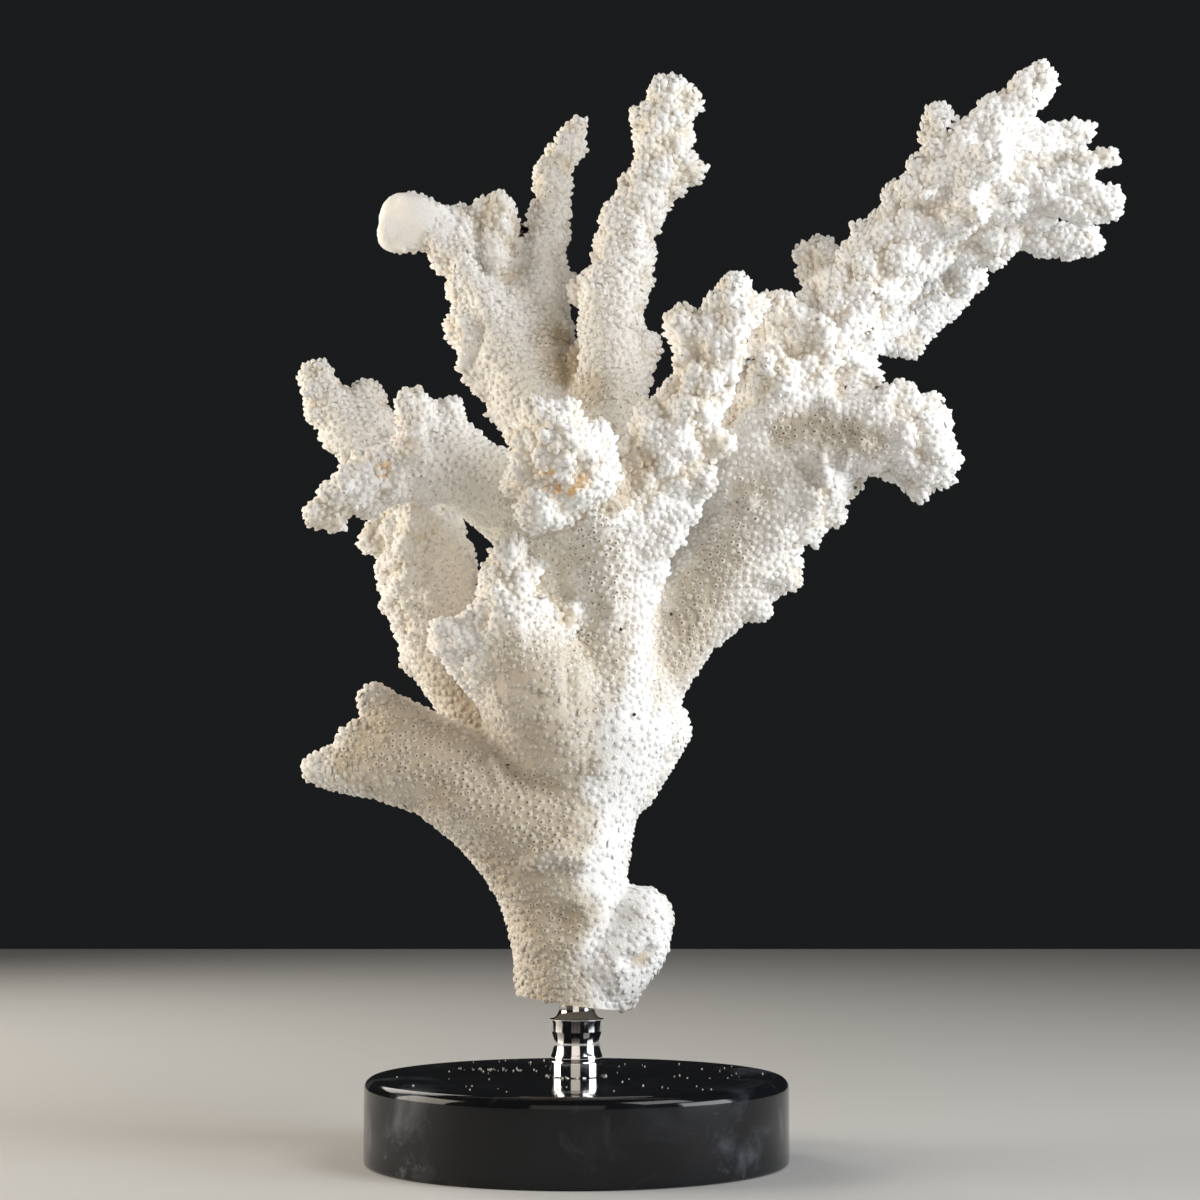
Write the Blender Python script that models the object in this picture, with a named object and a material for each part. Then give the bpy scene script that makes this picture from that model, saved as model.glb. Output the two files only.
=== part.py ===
"""Bleached staghorn coral on a turned chrome post and a round black stone base.

The coral is one grown piece, parted here at its main forks. Each branch is a set of limbs: a limb is a
round stem that runs smoothly through a few stations, with knobby buds on a golden-angle spiral. The limbs
of a branch are fused into one solid, and each branch is hollowed where it meets the ones before it.
The origin is the middle of the base's underside, +Z is up, and the front of the display looks along -Y.
"""

import math

import bmesh
import bpy
import numpy as np
from mathutils import Matrix

MM = 0.001

# Base: a 5 inch disc of polished stone, 1 inch thick
BASE_RADIUS = 63.5 * MM
BASE_THICKNESS = 25.4 * MM
BASE_TOP_ROUNDING = 3.2 * MM
BASE_FOOT_ROUNDING = 1.2 * MM
BASE_SIDES = 48

# Post: one chrome turning, with a spigot down into the base and a stud up into the coral
POST_SIDES = 20
POST_SPIGOT_RADIUS = 4.0 * MM
POST_SPIGOT_DEPTH = 12.0 * MM
POST_FLANGE_RADIUS = 8.2 * MM
POST_FLANGE_HEIGHT = 4.4 * MM
POST_FLANGE_EASE = 0.5 * MM
POST_BEAD_RADIUS = 7.8 * MM
POST_WAIST_RADIUS = 6.9 * MM
POST_WAIST_GAP = 1.2 * MM
POST_WAIST_HEIGHT = 7.6 * MM
POST_WAIST_STEPS = 4
POST_SHOULDER_HEIGHT = 17.0 * MM
POST_SHOULDER_LIP = 0.3 * MM
POST_SHOULDER_EASE = 1.0 * MM
POST_NECK_RADIUS = 5.4 * MM
POST_NECK_TOP = 24.4 * MM
POST_STUD_RADIUS = 3.0 * MM
POST_STUD_LENGTH = 20.0 * MM

# What keeps neighbouring solids apart
CLEARANCE = 0.3 * MM

# Coral: the foot's sawn underside slopes down to the right
FOOT_HEIGHT = 47.2 * MM
FOOT_SLOPE = math.radians(8)

# Coral surface
VOXEL = 1.7 * MM
SOFTENING = 0.5
SOFTENING_ROUNDS = 3
TRIANGLE_AREA = 33 * MM * MM
CREASE = math.radians(60)
LIMB_SIDES = 14
LIMB_STEP = 3.0 * MM
CAP_RINGS = 3
GOLDEN_ANGLE = math.pi * (3 - math.sqrt(5))

# Buds, as shares of a bud's own radius: how deep it sits, how far it stands out, how much its tip narrows
BUD_SINK = 0.2
BUD_RISE = 0.25
BUD_TAPER = 0.8
BUD_LEAN = 0.45
BUD_ROOT = 0.45

CORAL_COLOUR = (0.86, 0.83, 0.76, 1.0)
STONE_COLOUR = (0.012, 0.012, 0.014, 1.0)
CHROME_COLOUR = (0.78, 0.78, 0.79, 1.0)
CORAL_ROUGHNESS = 0.8
STONE_ROUGHNESS = 0.08
CHROME_ROUGHNESS = 0.06

# Every limb is a list of stations: x to the right, y to the back, z up and the radius there, in millimetres.
# A branch's first limb is its main stem. Its buds are: share of the stem where they start, how many
# there are, and their radius in millimetres.
BRANCHES = {
    "trunk": {
        "limbs": [
            [(-2, 0, 44, 16.5), (-3, 0, 60, 16.5), (-4, 0, 76, 18.5), (-4, 0, 92, 20), (-2, 0, 108, 21.5),
             (2, 0, 122, 25), (5, -1, 135, 27), (7, -4, 150, 22), (8, -9, 163, 16), (8, -13, 176, 16),
             (9, -15, 189, 16)],
            [(8, -2, 58, 14), (16, -2, 66, 12.5), (19, -3, 72, 10.5)],
            [(8, 0, 54, 11), (12, 0, 50, 7.5)],
            [(-6, -1, 76, 16), (-13.5, -4, 90, 15), (-24, -6, 103, 14)],
            [(10, 0, 118, 17), (22, 1, 129, 13)],
            [(16, -14, 168, 8), (23, -17, 177, 5)],
            [(18, -18, 180, 9), (28, -22, 186, 5)],
            [(-2, -4, 140, 16), (-8, -8, 158, 14), (-10, -12, 172, 12), (-8.5, -13, 183, 12.5)],
        ],
        "buds": (0.72, 9, 3.5),
    },
    "paddle_branch": {
        "limbs": [
            [(-6, -4, 98, 20), (-24, -8, 106, 17), (-40, -11, 116, 14.9), (-54, -12, 119.5, 13.5),
             (-66, -12, 118, 9.7), (-76.5, -12, 117, 5.7)],
            [(-42, -11, 118, 14), (-53, -12, 129, 10), (-60.5, -12, 138, 5.2)],
            [(-46, -12, 119, 12), (-60, -12, 124.5, 8.5), (-65.5, -12, 125, 6.5)],
            [(-46, -14, 127, 7), (-34, -17, 124, 6), (-26, -19, 118, 4.5)],
        ],
        "buds": (0.9, 0, 3.5),
    },
    "left_stem": {
        "limbs": [
            [(-10, 8, 118, 18), (-26, 13, 136, 15.2), (-37.5, 15, 153, 15), (-44.8, 16, 169, 15),
             (-48.5, 16, 186, 16), (-54, 20, 200, 12)],
            [(-48, 8, 181, 9), (-49, 0, 192, 6)],
            [(-52, 14, 188, 10), (-63, 13, 189, 5.5)],
            [(-50, 14, 163, 9), (-57, 12, 167, 4)],
        ],
        "buds": (0.5, 10, 3.5),
    },
    "rear_left_finger": {
        "limbs": [
            [(-52, 20, 198, 11), (-63, 27, 212.5, 10), (-72.5, 31, 225, 9.4), (-79.5, 33, 235, 7.6),
             (-83, 34, 242, 6)],
            [(-62, 28, 220, 8), (-67, 33, 237, 4.8)],
            [(-72, 30, 228, 6), (-83, 30, 231, 3.5)],
        ],
        "buds": (0.3, 4, 3),
    },
    "left_arm": {
        "limbs": [
            [(0, -12, 186, 16), (-13, -15, 192.5, 15), (-24, -18, 199.8, 12.9), (-36, -21, 205.8, 11.1),
             (-47, -25, 206, 10), (-57, -28, 202.5, 9.5), (-67, -31, 196.5, 8.3), (-74.5, -33, 190.5, 5.5)],
            [(-37, -20, 210, 9), (-38, -20, 223.5, 4.5)],
            [(-46, -24, 208, 9), (-49, -23, 226.5, 5)],
            [(-47, -28, 208, 8), (-48, -34, 210, 5)],
            [(-31, -20, 208, 8), (-31, -20, 215, 4)],
        ],
        "buds": (0.55, 9, 3.5),
    },
    "front_lobe": {
        "limbs": [
            [(-6, -10, 128, 20), (-13, -20, 143, 18), (-18, -26, 157, 13.5), (-19.5, -30, 169, 10),
             (-20, -32, 179, 6.5)],
            [(-20, -20, 146, 14), (-31, -26, 152, 10), (-37, -28, 155, 7)],
            [(-12, -24, 160, 10), (-5, -26, 161, 6)],
        ],
        "buds": (0.45, 12, 3.5),
    },
    "front_cluster": {
        "limbs": [
            [(6, -18, 190, 15), (2, -32, 198, 13), (-3, -43, 206, 11), (-6, -52, 210, 8.5)],
            [(-6, -46, 208, 9), (-11, -50, 218, 5)],
            [(-3, -44, 208, 9), (-2, -48, 218, 4.8)],
            [(-6, -44, 206, 8), (-17, -45, 211, 5)],
            [(-4, -40, 202, 9), (-16, -44, 199, 5.5)],
            [(-2, -34, 196, 10), (-11, -42, 191, 7)],
            [(4, -32, 202, 9), (6, -38, 214, 4.5)],
        ],
        "buds": (0.4, 10, 3.5),
    },
    "fan_branch": {
        "limbs": [
            [(5, 4, 178, 17), (2, 12, 198, 16), (-3.5, 19, 217, 14.8), (-14.5, 24, 237, 15.3),
             (-24, 28, 254, 13.5), (-30, 30, 269.5, 11), (-38.5, 31, 282, 9.2), (-47, 32, 290, 9.4),
             (-55, 32, 293.8, 9)],
            [(-50, 32, 290, 8), (-59, 32, 288, 5.6)],
            [(-29, 29, 278, 8), (-28, 29, 296, 5)],
            [(-25, 30, 276, 7), (-23.4, 29, 294.5, 4.5)],
            [(-34, 30, 282, 7), (-37, 30, 294, 4.2)],
            [(-27, 26, 250, 9), (-38, 24, 257, 5)],
            [(-22, 28, 250, 12), (-19, 30, 264, 9), (-17.5, 31, 273, 6)],
            [(-32, 27, 264, 8), (-38.5, 26, 270, 4.5)],
            [(-22, 26, 238, 9), (-32.5, 24, 244, 6.3)],
        ],
        "buds": (0.45, 9, 3.2),
    },
    "slim_finger": {
        "limbs": [
            [(-9, 27, 238, 12), (-11, 30, 257, 9.8), (-12, 32, 275, 7.8), (-9.4, 32, 292, 7.2),
             (-8.5, 32, 306, 6.6), (-4.5, 32, 316, 5.2), (0, 32, 324, 3.8)],
            [(-9, 31, 262, 6), (-3.5, 30, 273, 3.5)],
        ],
        "buds": (0.35, 5, 3),
    },
    "tall_finger": {
        "limbs": [
            [(6, 8, 205, 15), (9, 12, 228, 13), (10, 14, 248, 11.8), (11, 15, 265, 11.2),
             (15.5, 15, 283, 9.5), (21, 15, 296, 9), (25.2, 15, 308, 9.6), (27.5, 15, 320, 9.8),
             (28.5, 15, 328.5, 7.8)],
            [(14, 20, 234, 8), (22, 24, 251, 4.8)],
            [(10, 20, 256, 7), (0.5, 20, 268, 4)],
            [(16, 15, 286, 7), (11, 13, 290, 4.5)],
            [(25, 15, 301, 9), (35, 14, 305, 5.5)],
            [(28, 15, 321, 7), (36, 14, 328, 4)],
            [(25, 15, 314, 7), (20.5, 14, 321, 4)],
        ],
        "buds": (0.3, 14, 3.2),
    },
    "centre_branch": {
        "limbs": [
            [(11, -14, 184, 15), (19, -20, 200, 13.5), (28, -24, 215, 11.5), (36.5, -27, 229, 10),
             (42.5, -28, 243, 8.5), (46.5, -29, 256, 7.5)],
            [(37, -27, 238, 7), (31, -28, 248.5, 5.5)],
            [(44, -28, 248, 7), (52.5, -28, 253.5, 5)],
            [(28, -24, 212, 9), (41, -27, 212, 5.5)],
            [(24, -22, 206, 9), (37, -26, 202, 5.5)],
            [(20, -18, 196, 9), (32, -23, 193, 5)],
            [(22, -22, 212, 8), (21, -26, 222, 4.5)],
        ],
        "buds": (0.3, 16, 3.5),
    },
    "right_limb": {
        "limbs": [
            [(12, 6, 138, 16), (25, 9, 159, 15), (39, 10, 178, 18), (50, 10, 198, 19), (59, 8, 216, 18),
             (66, 5, 233, 17), (76, 2, 249, 15.2), (88, 0, 264.5, 14.6), (101, -2, 279, 14.3),
             (112, -4, 290, 14.5), (121, -6, 297, 12)],
            [(80, 8, 262, 10), (75, 15, 277, 7.5)],
            [(64, 2, 240, 12), (59.2, -4, 255, 7.8)],
            [(103, -4, 290, 10), (109.5, -6, 305, 6.7), (110.5, -6, 316, 4.8)],
        ],
        "buds": (0.55, 14, 3.8),
    },
    "right_crown": {
        "limbs": [
            [(112, -6, 294, 12), (122, -7, 306.5, 10.3), (132, -8, 317.5, 8), (142, -9, 328.2, 5.4)],
            [(120, -4, 300, 11), (138, -3, 307, 7.5), (147, -3, 310.5, 5.5), (155.5, -3, 313.5, 4.3)],
            [(122, -8, 297, 10), (142, -11, 299, 6.5), (152, -13, 300.5, 5), (161, -14, 302.5, 3.8)],
            [(118, -8, 289, 12), (136, -12, 289, 9), (150, -15, 288.5, 7.2), (159.5, -16, 287.5, 6)],
            [(114, 0, 282, 12.5), (132, 2, 282.5, 8), (146, 2, 280, 6), (156.5, 2, 279.5, 5.7)],
            [(122, -2, 283, 11), (127, -2, 278, 8)],
            [(118, -10, 294, 10), (126, -20, 300, 6)],
            [(112, -8, 286, 10), (118, -19, 284, 6)],
        ],
        "buds": (0.2, 8, 3.2),
    },
    "right_under_branch": {
        "limbs": [
            [(70, 10, 240, 13), (86, 20, 253, 10.5), (101, 27, 262, 9.5), (114, 31, 267, 9),
             (126.5, 33, 275, 4.8)],
            [(98, 26, 257, 8), (105.5, 28, 253, 4.8)],
        ],
        "buds": (0.3, 7, 3.2),
    },
    "middle_branch": {
        "limbs": [
            [(48, -2, 206, 15), (60, -9, 224, 12), (71, -11, 238, 10.5), (82, -10, 246, 8),
             (88, -9, 246, 4.5)],
            [(78, -8, 240, 8), (88, -8, 236, 4.8)],
            [(60, -12, 226, 9), (58, -22, 238, 6)],
            [(70, -12, 240, 8), (73, -19, 248, 5)],
            [(66, -10, 244, 9), (62, -8, 256, 6)],
        ],
        "buds": (0.3, 12, 3.5),
    },
    "right_arm": {
        "limbs": [
            [(54, -2, 206, 16), (69, -6, 214, 15.5), (83, -10, 216.5, 14.5), (96, -14, 215.5, 13.2),
             (105.5, -17, 209.5, 10.6)],
            [(92, -12, 221, 9), (97, -14, 229, 6)],
            [(98, -14, 219, 9), (106.5, -15, 223.5, 6)],
            [(102, -16, 209, 8), (109.5, -17, 206, 5.5)],
            [(100, -15, 209, 7), (103, -16, 201, 4.5)],
        ],
        "buds": (0.35, 14, 3.5),
    },
    "right_flank": {
        "limbs": [
            [(20, 0, 147, 14), (28, 0, 157.5, 13.5), (37, 0, 168, 15), (50, -4, 183, 14),
             (63, -8, 194.5, 12.2), (73.5, -11, 202, 9)],
            [(56, -6, 182, 10), (63.5, -6, 175, 6.3)],
            [(46, -3, 172, 10), (54, -4, 167, 6)],
            [(68, -8, 193, 9), (76, -8, 194, 5)],
            [(72, -10, 202, 7), (79, -10, 199, 4.5)],
        ],
        "buds": (0.5, 7, 3.2),
    },
    "rear_lower_branch": {
        "limbs": [
            [(-2, 10, 136, 18), (-7, 28, 152, 14), (-11, 42, 168, 12), (-10, 53, 185, 10),
             (-7, 60, 200, 7)],
            [(-12, 44, 172, 8), (-22, 54, 182, 5)],
        ],
        "buds": (0.3, 9, 3.5),
    },
    "rear_upper_branch": {
        "limbs": [
            [(30, 12, 168, 16), (38, 30, 184, 13.5), (44, 44, 200, 11.5), (48, 54, 218, 9),
             (49, 59, 232, 6.5)],
            [(46, 46, 204, 8), (58, 54, 214, 5)],
            [(42, 42, 200, 8), (32, 52, 212, 5)],
        ],
        "buds": (0.3, 10, 3.5),
    },
}


def smooth_path(stations):
    """Points and radii every few millimetres on a Catmull-Rom curve through the stations."""
    keys = np.array(stations, float) * MM
    padded = np.vstack([2 * keys[0] - keys[1], keys, 2 * keys[-1] - keys[-2]])
    rows = []
    for before, start, end, after in zip(padded, padded[1:], padded[2:], padded[3:]):
        span = np.linalg.norm(end[:3] - start[:3])
        t = np.linspace(0, 1, max(2, math.ceil(span / LIMB_STEP)), endpoint=False)[:, None]
        rows.append(0.5 * (2 * start + (end - before) * t
                           + (2 * before - 5 * start + 4 * end - after) * t**2
                           + (3 * start - before - 3 * end + after) * t**3))
    path = np.vstack([*rows, keys[-1:]])
    return path[:, :3], path[:, 3]


def turning_frames(points):
    """A tangent and two square directions at each point, carried along so that the tube doesn't twist."""
    tangents = np.gradient(points, axis=0)
    tangents /= np.linalg.norm(tangents, axis=1)[:, None]
    side = np.cross(tangents[0], (0.3, 0.9, 0.1))
    frames = []
    for tangent in tangents:
        side = side - tangent * (side @ tangent)
        side /= np.linalg.norm(side)
        frames.append((tangent, side, np.cross(tangent, side)))
    return frames


def dome_ring(point, radius, frame, step):
    """A ring of a limb's domed end: step is below 0 before the limb's start, and above 0 past its end."""
    lean = step / (CAP_RINGS + 1) * math.pi / 2
    return point + frame[0] * radius * math.sin(lean), radius * math.cos(lean), frame


def add_limb(shape, stations):
    """Lofts a round tube along the stations, with a domed cap at each end, into the bmesh."""
    points, radii = smooth_path(stations)
    frames = turning_frames(points)
    rings = [dome_ring(points[0], radii[0], frames[0], step) for step in range(-CAP_RINGS, 0)]
    rings += list(zip(points, radii, frames))
    rings += [dome_ring(points[-1], radii[-1], frames[-1], step) for step in range(1, CAP_RINGS + 1)]
    turns = [2 * math.pi * k / LIMB_SIDES for k in range(LIMB_SIDES)]
    loops = []
    for centre, radius, (_, side, up) in rings:
        circle = [centre + radius * (math.cos(a) * side + math.sin(a) * up) for a in turns]
        loops.append([shape.verts.new(point) for point in circle])
    for low, high in zip(loops, loops[1:]):
        for k in range(LIMB_SIDES):
            following = (k + 1) % LIMB_SIDES
            shape.faces.new((low[k], low[following], high[following], high[k]))
    shape.faces.new(list(reversed(loops[0])))
    shape.faces.new(loops[-1])


def bud_limbs(stem, first_share, count, radius):
    """Short stubs on a golden-angle spiral, from first_share of the stem on, leaning towards its tip."""
    points, radii = smooth_path(stem)
    frames = turning_frames(points)
    size = radius * MM
    buds = []
    for k in range(count):
        share = first_share + (1 - first_share) * (k + 0.5) / count
        at = int(share * (len(points) - 1))
        tangent, side, up = frames[at]
        outwards = math.cos(k * GOLDEN_ANGLE) * side + math.sin(k * GOLDEN_ANGLE) * up
        lean = BUD_LEAN * tangent + outwards
        lean /= np.linalg.norm(lean)
        reach = max(radii[at] - BUD_SINK * size, size)
        root = points[at] + BUD_ROOT * reach * outwards
        tip = points[at] + reach * outwards + BUD_RISE * size * lean
        buds.append([(*(root / MM), radius), (*(tip / MM), BUD_TAPER * radius)])
    return buds


def new_object(name, mesh, colour, metallic, roughness):
    """Links a mesh with its own Principled material."""
    obj = bpy.data.objects.new(name, mesh)
    bpy.context.scene.collection.objects.link(obj)
    material = bpy.data.materials.new(name)
    material.use_nodes = True
    shader = material.node_tree.nodes["Principled BSDF"]
    shader.inputs["Base Color"].default_value = colour
    shader.inputs["Metallic"].default_value = metallic
    shader.inputs["Roughness"].default_value = roughness
    mesh.materials.append(material)
    return obj


def new_mesh(name, shape):
    """Turns a bmesh into a mesh, and frees it."""
    mesh = bpy.data.meshes.new(name)
    shape.to_mesh(mesh)
    shape.free()
    return mesh


def apply_modifiers(obj):
    """Swaps the object's mesh for what its modifiers make of it."""
    graph = bpy.context.evaluated_depsgraph_get()
    made = bpy.data.meshes.new_from_object(obj.evaluated_get(graph))
    obj.modifiers.clear()
    old = obj.data
    obj.data = made
    bpy.data.meshes.remove(old)


def grow_branch(name, limbs, buds):
    """Fuses a branch's limbs and buds into one faceted solid of evenly sized triangles."""
    shape = bmesh.new()
    for stations in limbs + bud_limbs(limbs[0], *buds):
        add_limb(shape, stations)
    branch = new_object(name, new_mesh(name, shape), CORAL_COLOUR, 0.0, CORAL_ROUGHNESS)
    fuse = branch.modifiers.new("fuse", "REMESH")
    fuse.mode = "VOXEL"
    fuse.voxel_size = VOXEL
    fuse.use_smooth_shade = True
    soften = branch.modifiers.new("soften", "SMOOTH")
    soften.factor = SOFTENING
    soften.iterations = SOFTENING_ROUNDS
    apply_modifiers(branch)
    quads = branch.data.polygons
    area = sum(quad.area for quad in quads)
    coarsen = branch.modifiers.new("coarsen", "DECIMATE")
    coarsen.ratio = area / TRIANGLE_AREA / (2 * len(quads))
    apply_modifiers(branch)
    return branch


def cutter_object(name, mesh):
    """A hidden helper that a Boolean cuts with."""
    obj = bpy.data.objects.new(name, mesh)
    bpy.context.scene.collection.objects.link(obj)
    obj.hide_render = True
    obj.display_type = "WIRE"
    return obj


def clearance_cutter(branch):
    """A copy of a branch as it grew, fatter all over by the clearance."""
    grown = bmesh.new()
    grown.from_mesh(branch.data)
    grown.normal_update()
    for vert in grown.verts:
        vert.co += vert.normal * vert.calc_shell_factor() * CLEARANCE
    name = branch.name + "_clearance"
    return cutter_object(name, new_mesh(name, grown))


def cylinder_cutter(name, radius, bottom, top):
    """An upright round cutter on the Z axis."""
    shape = bmesh.new()
    place = Matrix.Translation((0, 0, (bottom + top) / 2))
    bmesh.ops.create_cone(shape, cap_ends=True, segments=POST_SIDES, radius1=radius, radius2=radius,
                          depth=top - bottom, matrix=place)
    return cutter_object(name, new_mesh(name, shape))


def cut(obj, cutter):
    """Takes the cutter out. The exact solver drops whole branches where skins cross in tight crotches."""
    modifier = obj.modifiers.new("cut", "BOOLEAN")
    modifier.operation = "DIFFERENCE"
    modifier.solver = "MANIFOLD"
    modifier.object = cutter
    apply_modifiers(obj)


def boxes_meet(one, other):
    """Whether two objects' bounding boxes overlap."""
    first = np.array([vert.co for vert in one.data.vertices])
    second = np.array([vert.co for vert in other.data.vertices])
    return bool((first.max(0) > second.min(0)).all() and (second.max(0) > first.min(0)).all())


def saw_foot_and_drill(trunk):
    """Saws the foot off on a slight slope, and drills it for the post's neck and stud."""
    size = 2 * BASE_RADIUS
    shape = bmesh.new()
    place = Matrix.Translation((0, 0, FOOT_HEIGHT)) @ Matrix.Rotation(FOOT_SLOPE, 4, "Y")
    bmesh.ops.create_cube(shape, size=size, matrix=place @ Matrix.Translation((0, 0, -size / 2)))
    cut(trunk, cutter_object("foot_saw", new_mesh("foot_saw", shape)))
    neck_top = BASE_THICKNESS + POST_NECK_TOP + CLEARANCE
    stud_top = neck_top + POST_STUD_LENGTH
    cut(trunk, cylinder_cutter("neck_hole", POST_NECK_RADIUS + CLEARANCE, BASE_THICKNESS, neck_top))
    cut(trunk, cylinder_cutter("stud_hole", POST_STUD_RADIUS + CLEARANCE, BASE_THICKNESS, stud_top))


def connected_faces(face, unseen):
    """Every face that hangs together with this one. Takes them out of unseen."""
    unseen.remove(face)
    front = [face]
    body = []
    while front:
        at = front.pop()
        body.append(at)
        for edge in at.edges:
            for other in edge.link_faces:
                if other in unseen:
                    unseen.remove(other)
                    front.append(other)
    return body


def tidy_solid(obj):
    """Makes every face a triangle, keeps the largest body and marks the creases."""
    shape = bmesh.new()
    shape.from_mesh(obj.data)
    bmesh.ops.triangulate(shape, faces=shape.faces)
    unseen = set(shape.faces)
    bodies = []
    while unseen:
        bodies.append(connected_faces(next(iter(unseen)), unseen))
    bodies.sort(key=len)
    crumbs = [face for body in bodies[:-1] for face in body]
    bmesh.ops.delete(shape, geom=crumbs, context="FACES")
    shape.to_mesh(obj.data)
    shape.free()
    obj.data.set_sharp_from_angle(angle=CREASE)


def make_coral():
    """Grows the branches in order, and hollows each where it meets the ones before it."""
    branches = [grow_branch(name, parts["limbs"], parts["buds"]) for name, parts in BRANCHES.items()]
    cutters = [clearance_cutter(branch) for branch in branches]
    for place, branch in enumerate(branches):
        for cutter in cutters[:place]:
            if boxes_meet(branch, cutter):
                cut(branch, cutter)
    saw_foot_and_drill(branches[0])
    for branch in branches:
        tidy_solid(branch)


def arc(centre_radius, centre_height, radius, start, end, steps):
    """Points on a circular arc of a profile, from one angle to another, in degrees."""
    turns = [math.radians(start + (end - start) * k / steps) for k in range(steps + 1)]
    return [(centre_radius + radius * math.cos(a), centre_height + radius * math.sin(a)) for a in turns]


def lathe(name, profile, sides, colour, metallic, roughness):
    """Turns a profile of (radius, height) points, listed from axis to axis, about the Z axis."""
    shape = bmesh.new()
    verts = [shape.verts.new((radius, 0, height)) for radius, height in profile]
    edges = [shape.edges.new(pair) for pair in zip(verts, verts[1:])]
    bmesh.ops.spin(shape, geom=verts + edges, cent=(0, 0, 0), axis=(0, 0, 1),
                   angle=2 * math.pi, steps=sides, use_merge=True, use_duplicate=False)
    bmesh.ops.remove_doubles(shape, verts=shape.verts, dist=0.001 * MM)
    bmesh.ops.recalc_face_normals(shape, faces=shape.faces)
    mesh = new_mesh(name, shape)
    mesh.shade_smooth()
    mesh.set_sharp_from_angle(angle=math.radians(35))
    return new_object(name, mesh, colour, metallic, roughness)


def make_base():
    """The polished stone disc: rounded top edge, eased foot, and a blind hole for the post's spigot."""
    top, foot = BASE_TOP_ROUNDING, BASE_FOOT_ROUNDING
    hole = POST_SPIGOT_RADIUS + CLEARANCE
    hole_floor = BASE_THICKNESS - POST_SPIGOT_DEPTH - CLEARANCE
    profile = [
        (0, 0),
        *arc(BASE_RADIUS - foot, foot, foot, -90, 0, 1),
        *arc(BASE_RADIUS - top, BASE_THICKNESS - top, top, 0, 90, 3),
        (hole, BASE_THICKNESS),
        (hole, hole_floor),
        (0, hole_floor),
    ]
    lathe("stone_base", profile, BASE_SIDES, STONE_COLOUR, 0.0, STONE_ROUGHNESS)


def make_post():
    """The chrome turning: spigot, flange, waist between two beads, sharp shoulder, hollow neck and stud."""
    seat = BASE_THICKNESS + CLEARANCE
    flange = seat + POST_FLANGE_HEIGHT
    shoulder = BASE_THICKNESS + POST_SHOULDER_HEIGHT
    neck_top = BASE_THICKNESS + POST_NECK_TOP
    hollow = POST_BEAD_RADIUS - POST_WAIST_RADIUS
    flare = POST_FLANGE_RADIUS - POST_NECK_RADIUS
    waist = []
    for k in range(POST_WAIST_STEPS + 1):
        t = k / POST_WAIST_STEPS
        height = flange + POST_WAIST_GAP + t * POST_WAIST_HEIGHT
        waist.append((POST_BEAD_RADIUS - hollow * math.sin(math.pi * t), height))
    profile = [
        (0, seat - POST_SPIGOT_DEPTH),
        (POST_SPIGOT_RADIUS, seat - POST_SPIGOT_DEPTH),
        (POST_SPIGOT_RADIUS, seat),
        (POST_FLANGE_RADIUS, seat),
        (POST_FLANGE_RADIUS, flange - POST_FLANGE_EASE),
        (POST_FLANGE_RADIUS - POST_FLANGE_EASE, flange),
        *waist,
        (POST_BEAD_RADIUS, shoulder - POST_SHOULDER_EASE),
        (POST_FLANGE_RADIUS, shoulder - POST_SHOULDER_LIP),
        *arc(POST_FLANGE_RADIUS, shoulder + flare, flare, 270, 180, 3),
        (POST_NECK_RADIUS, neck_top),
        (POST_STUD_RADIUS, neck_top),
        (POST_STUD_RADIUS, neck_top + POST_STUD_LENGTH),
        (0, neck_top + POST_STUD_LENGTH),
    ]
    lathe("chrome_post", profile, POST_SIDES, CHROME_COLOUR, 1.0, CHROME_ROUGHNESS)


def main():
    for obj in list(bpy.data.objects):
        bpy.data.objects.remove(obj)
    make_base()
    make_post()
    make_coral()


main()
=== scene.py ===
"""Bleached staghorn coral on a turned chrome post and a round black stone base.

The coral's limbs are tubes carried along smooth paths. They are fused into one skin, which is loosened,
roughened and parted again into the branches, and thousands of small cups and beads sit on it. The base and
the post are turned profiles. Lengths in the tables are millimetres; the frame is in metres.
"""

import math

import bpy
import numpy as np
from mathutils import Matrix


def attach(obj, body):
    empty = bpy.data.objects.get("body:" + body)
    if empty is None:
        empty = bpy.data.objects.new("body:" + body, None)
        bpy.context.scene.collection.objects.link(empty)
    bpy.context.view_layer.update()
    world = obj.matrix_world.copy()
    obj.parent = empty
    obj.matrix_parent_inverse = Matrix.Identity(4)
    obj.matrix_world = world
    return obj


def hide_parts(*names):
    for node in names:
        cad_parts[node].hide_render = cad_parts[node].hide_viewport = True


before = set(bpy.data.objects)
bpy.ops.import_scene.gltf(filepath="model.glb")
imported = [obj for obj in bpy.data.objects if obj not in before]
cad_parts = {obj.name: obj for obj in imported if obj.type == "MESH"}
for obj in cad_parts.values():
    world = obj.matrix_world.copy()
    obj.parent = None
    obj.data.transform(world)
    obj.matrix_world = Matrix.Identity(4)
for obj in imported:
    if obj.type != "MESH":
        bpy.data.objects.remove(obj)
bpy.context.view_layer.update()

MM = 0.001
TURN = 2 * math.pi
GOLDEN_ANGLE = math.pi * (3 - math.sqrt(5))
rng = np.random.default_rng(17)

# Camera of the portrait: place, tilt above the level, focal length, film width and picture width
CAMERA_PLACE = np.array([0.007, -0.800, 0.102])
CAMERA_RISE = math.radians(4.75)
CAMERA_LENS = 79.2
FILM_WIDTH = 36
FRAME_PIXELS = 1200

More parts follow.
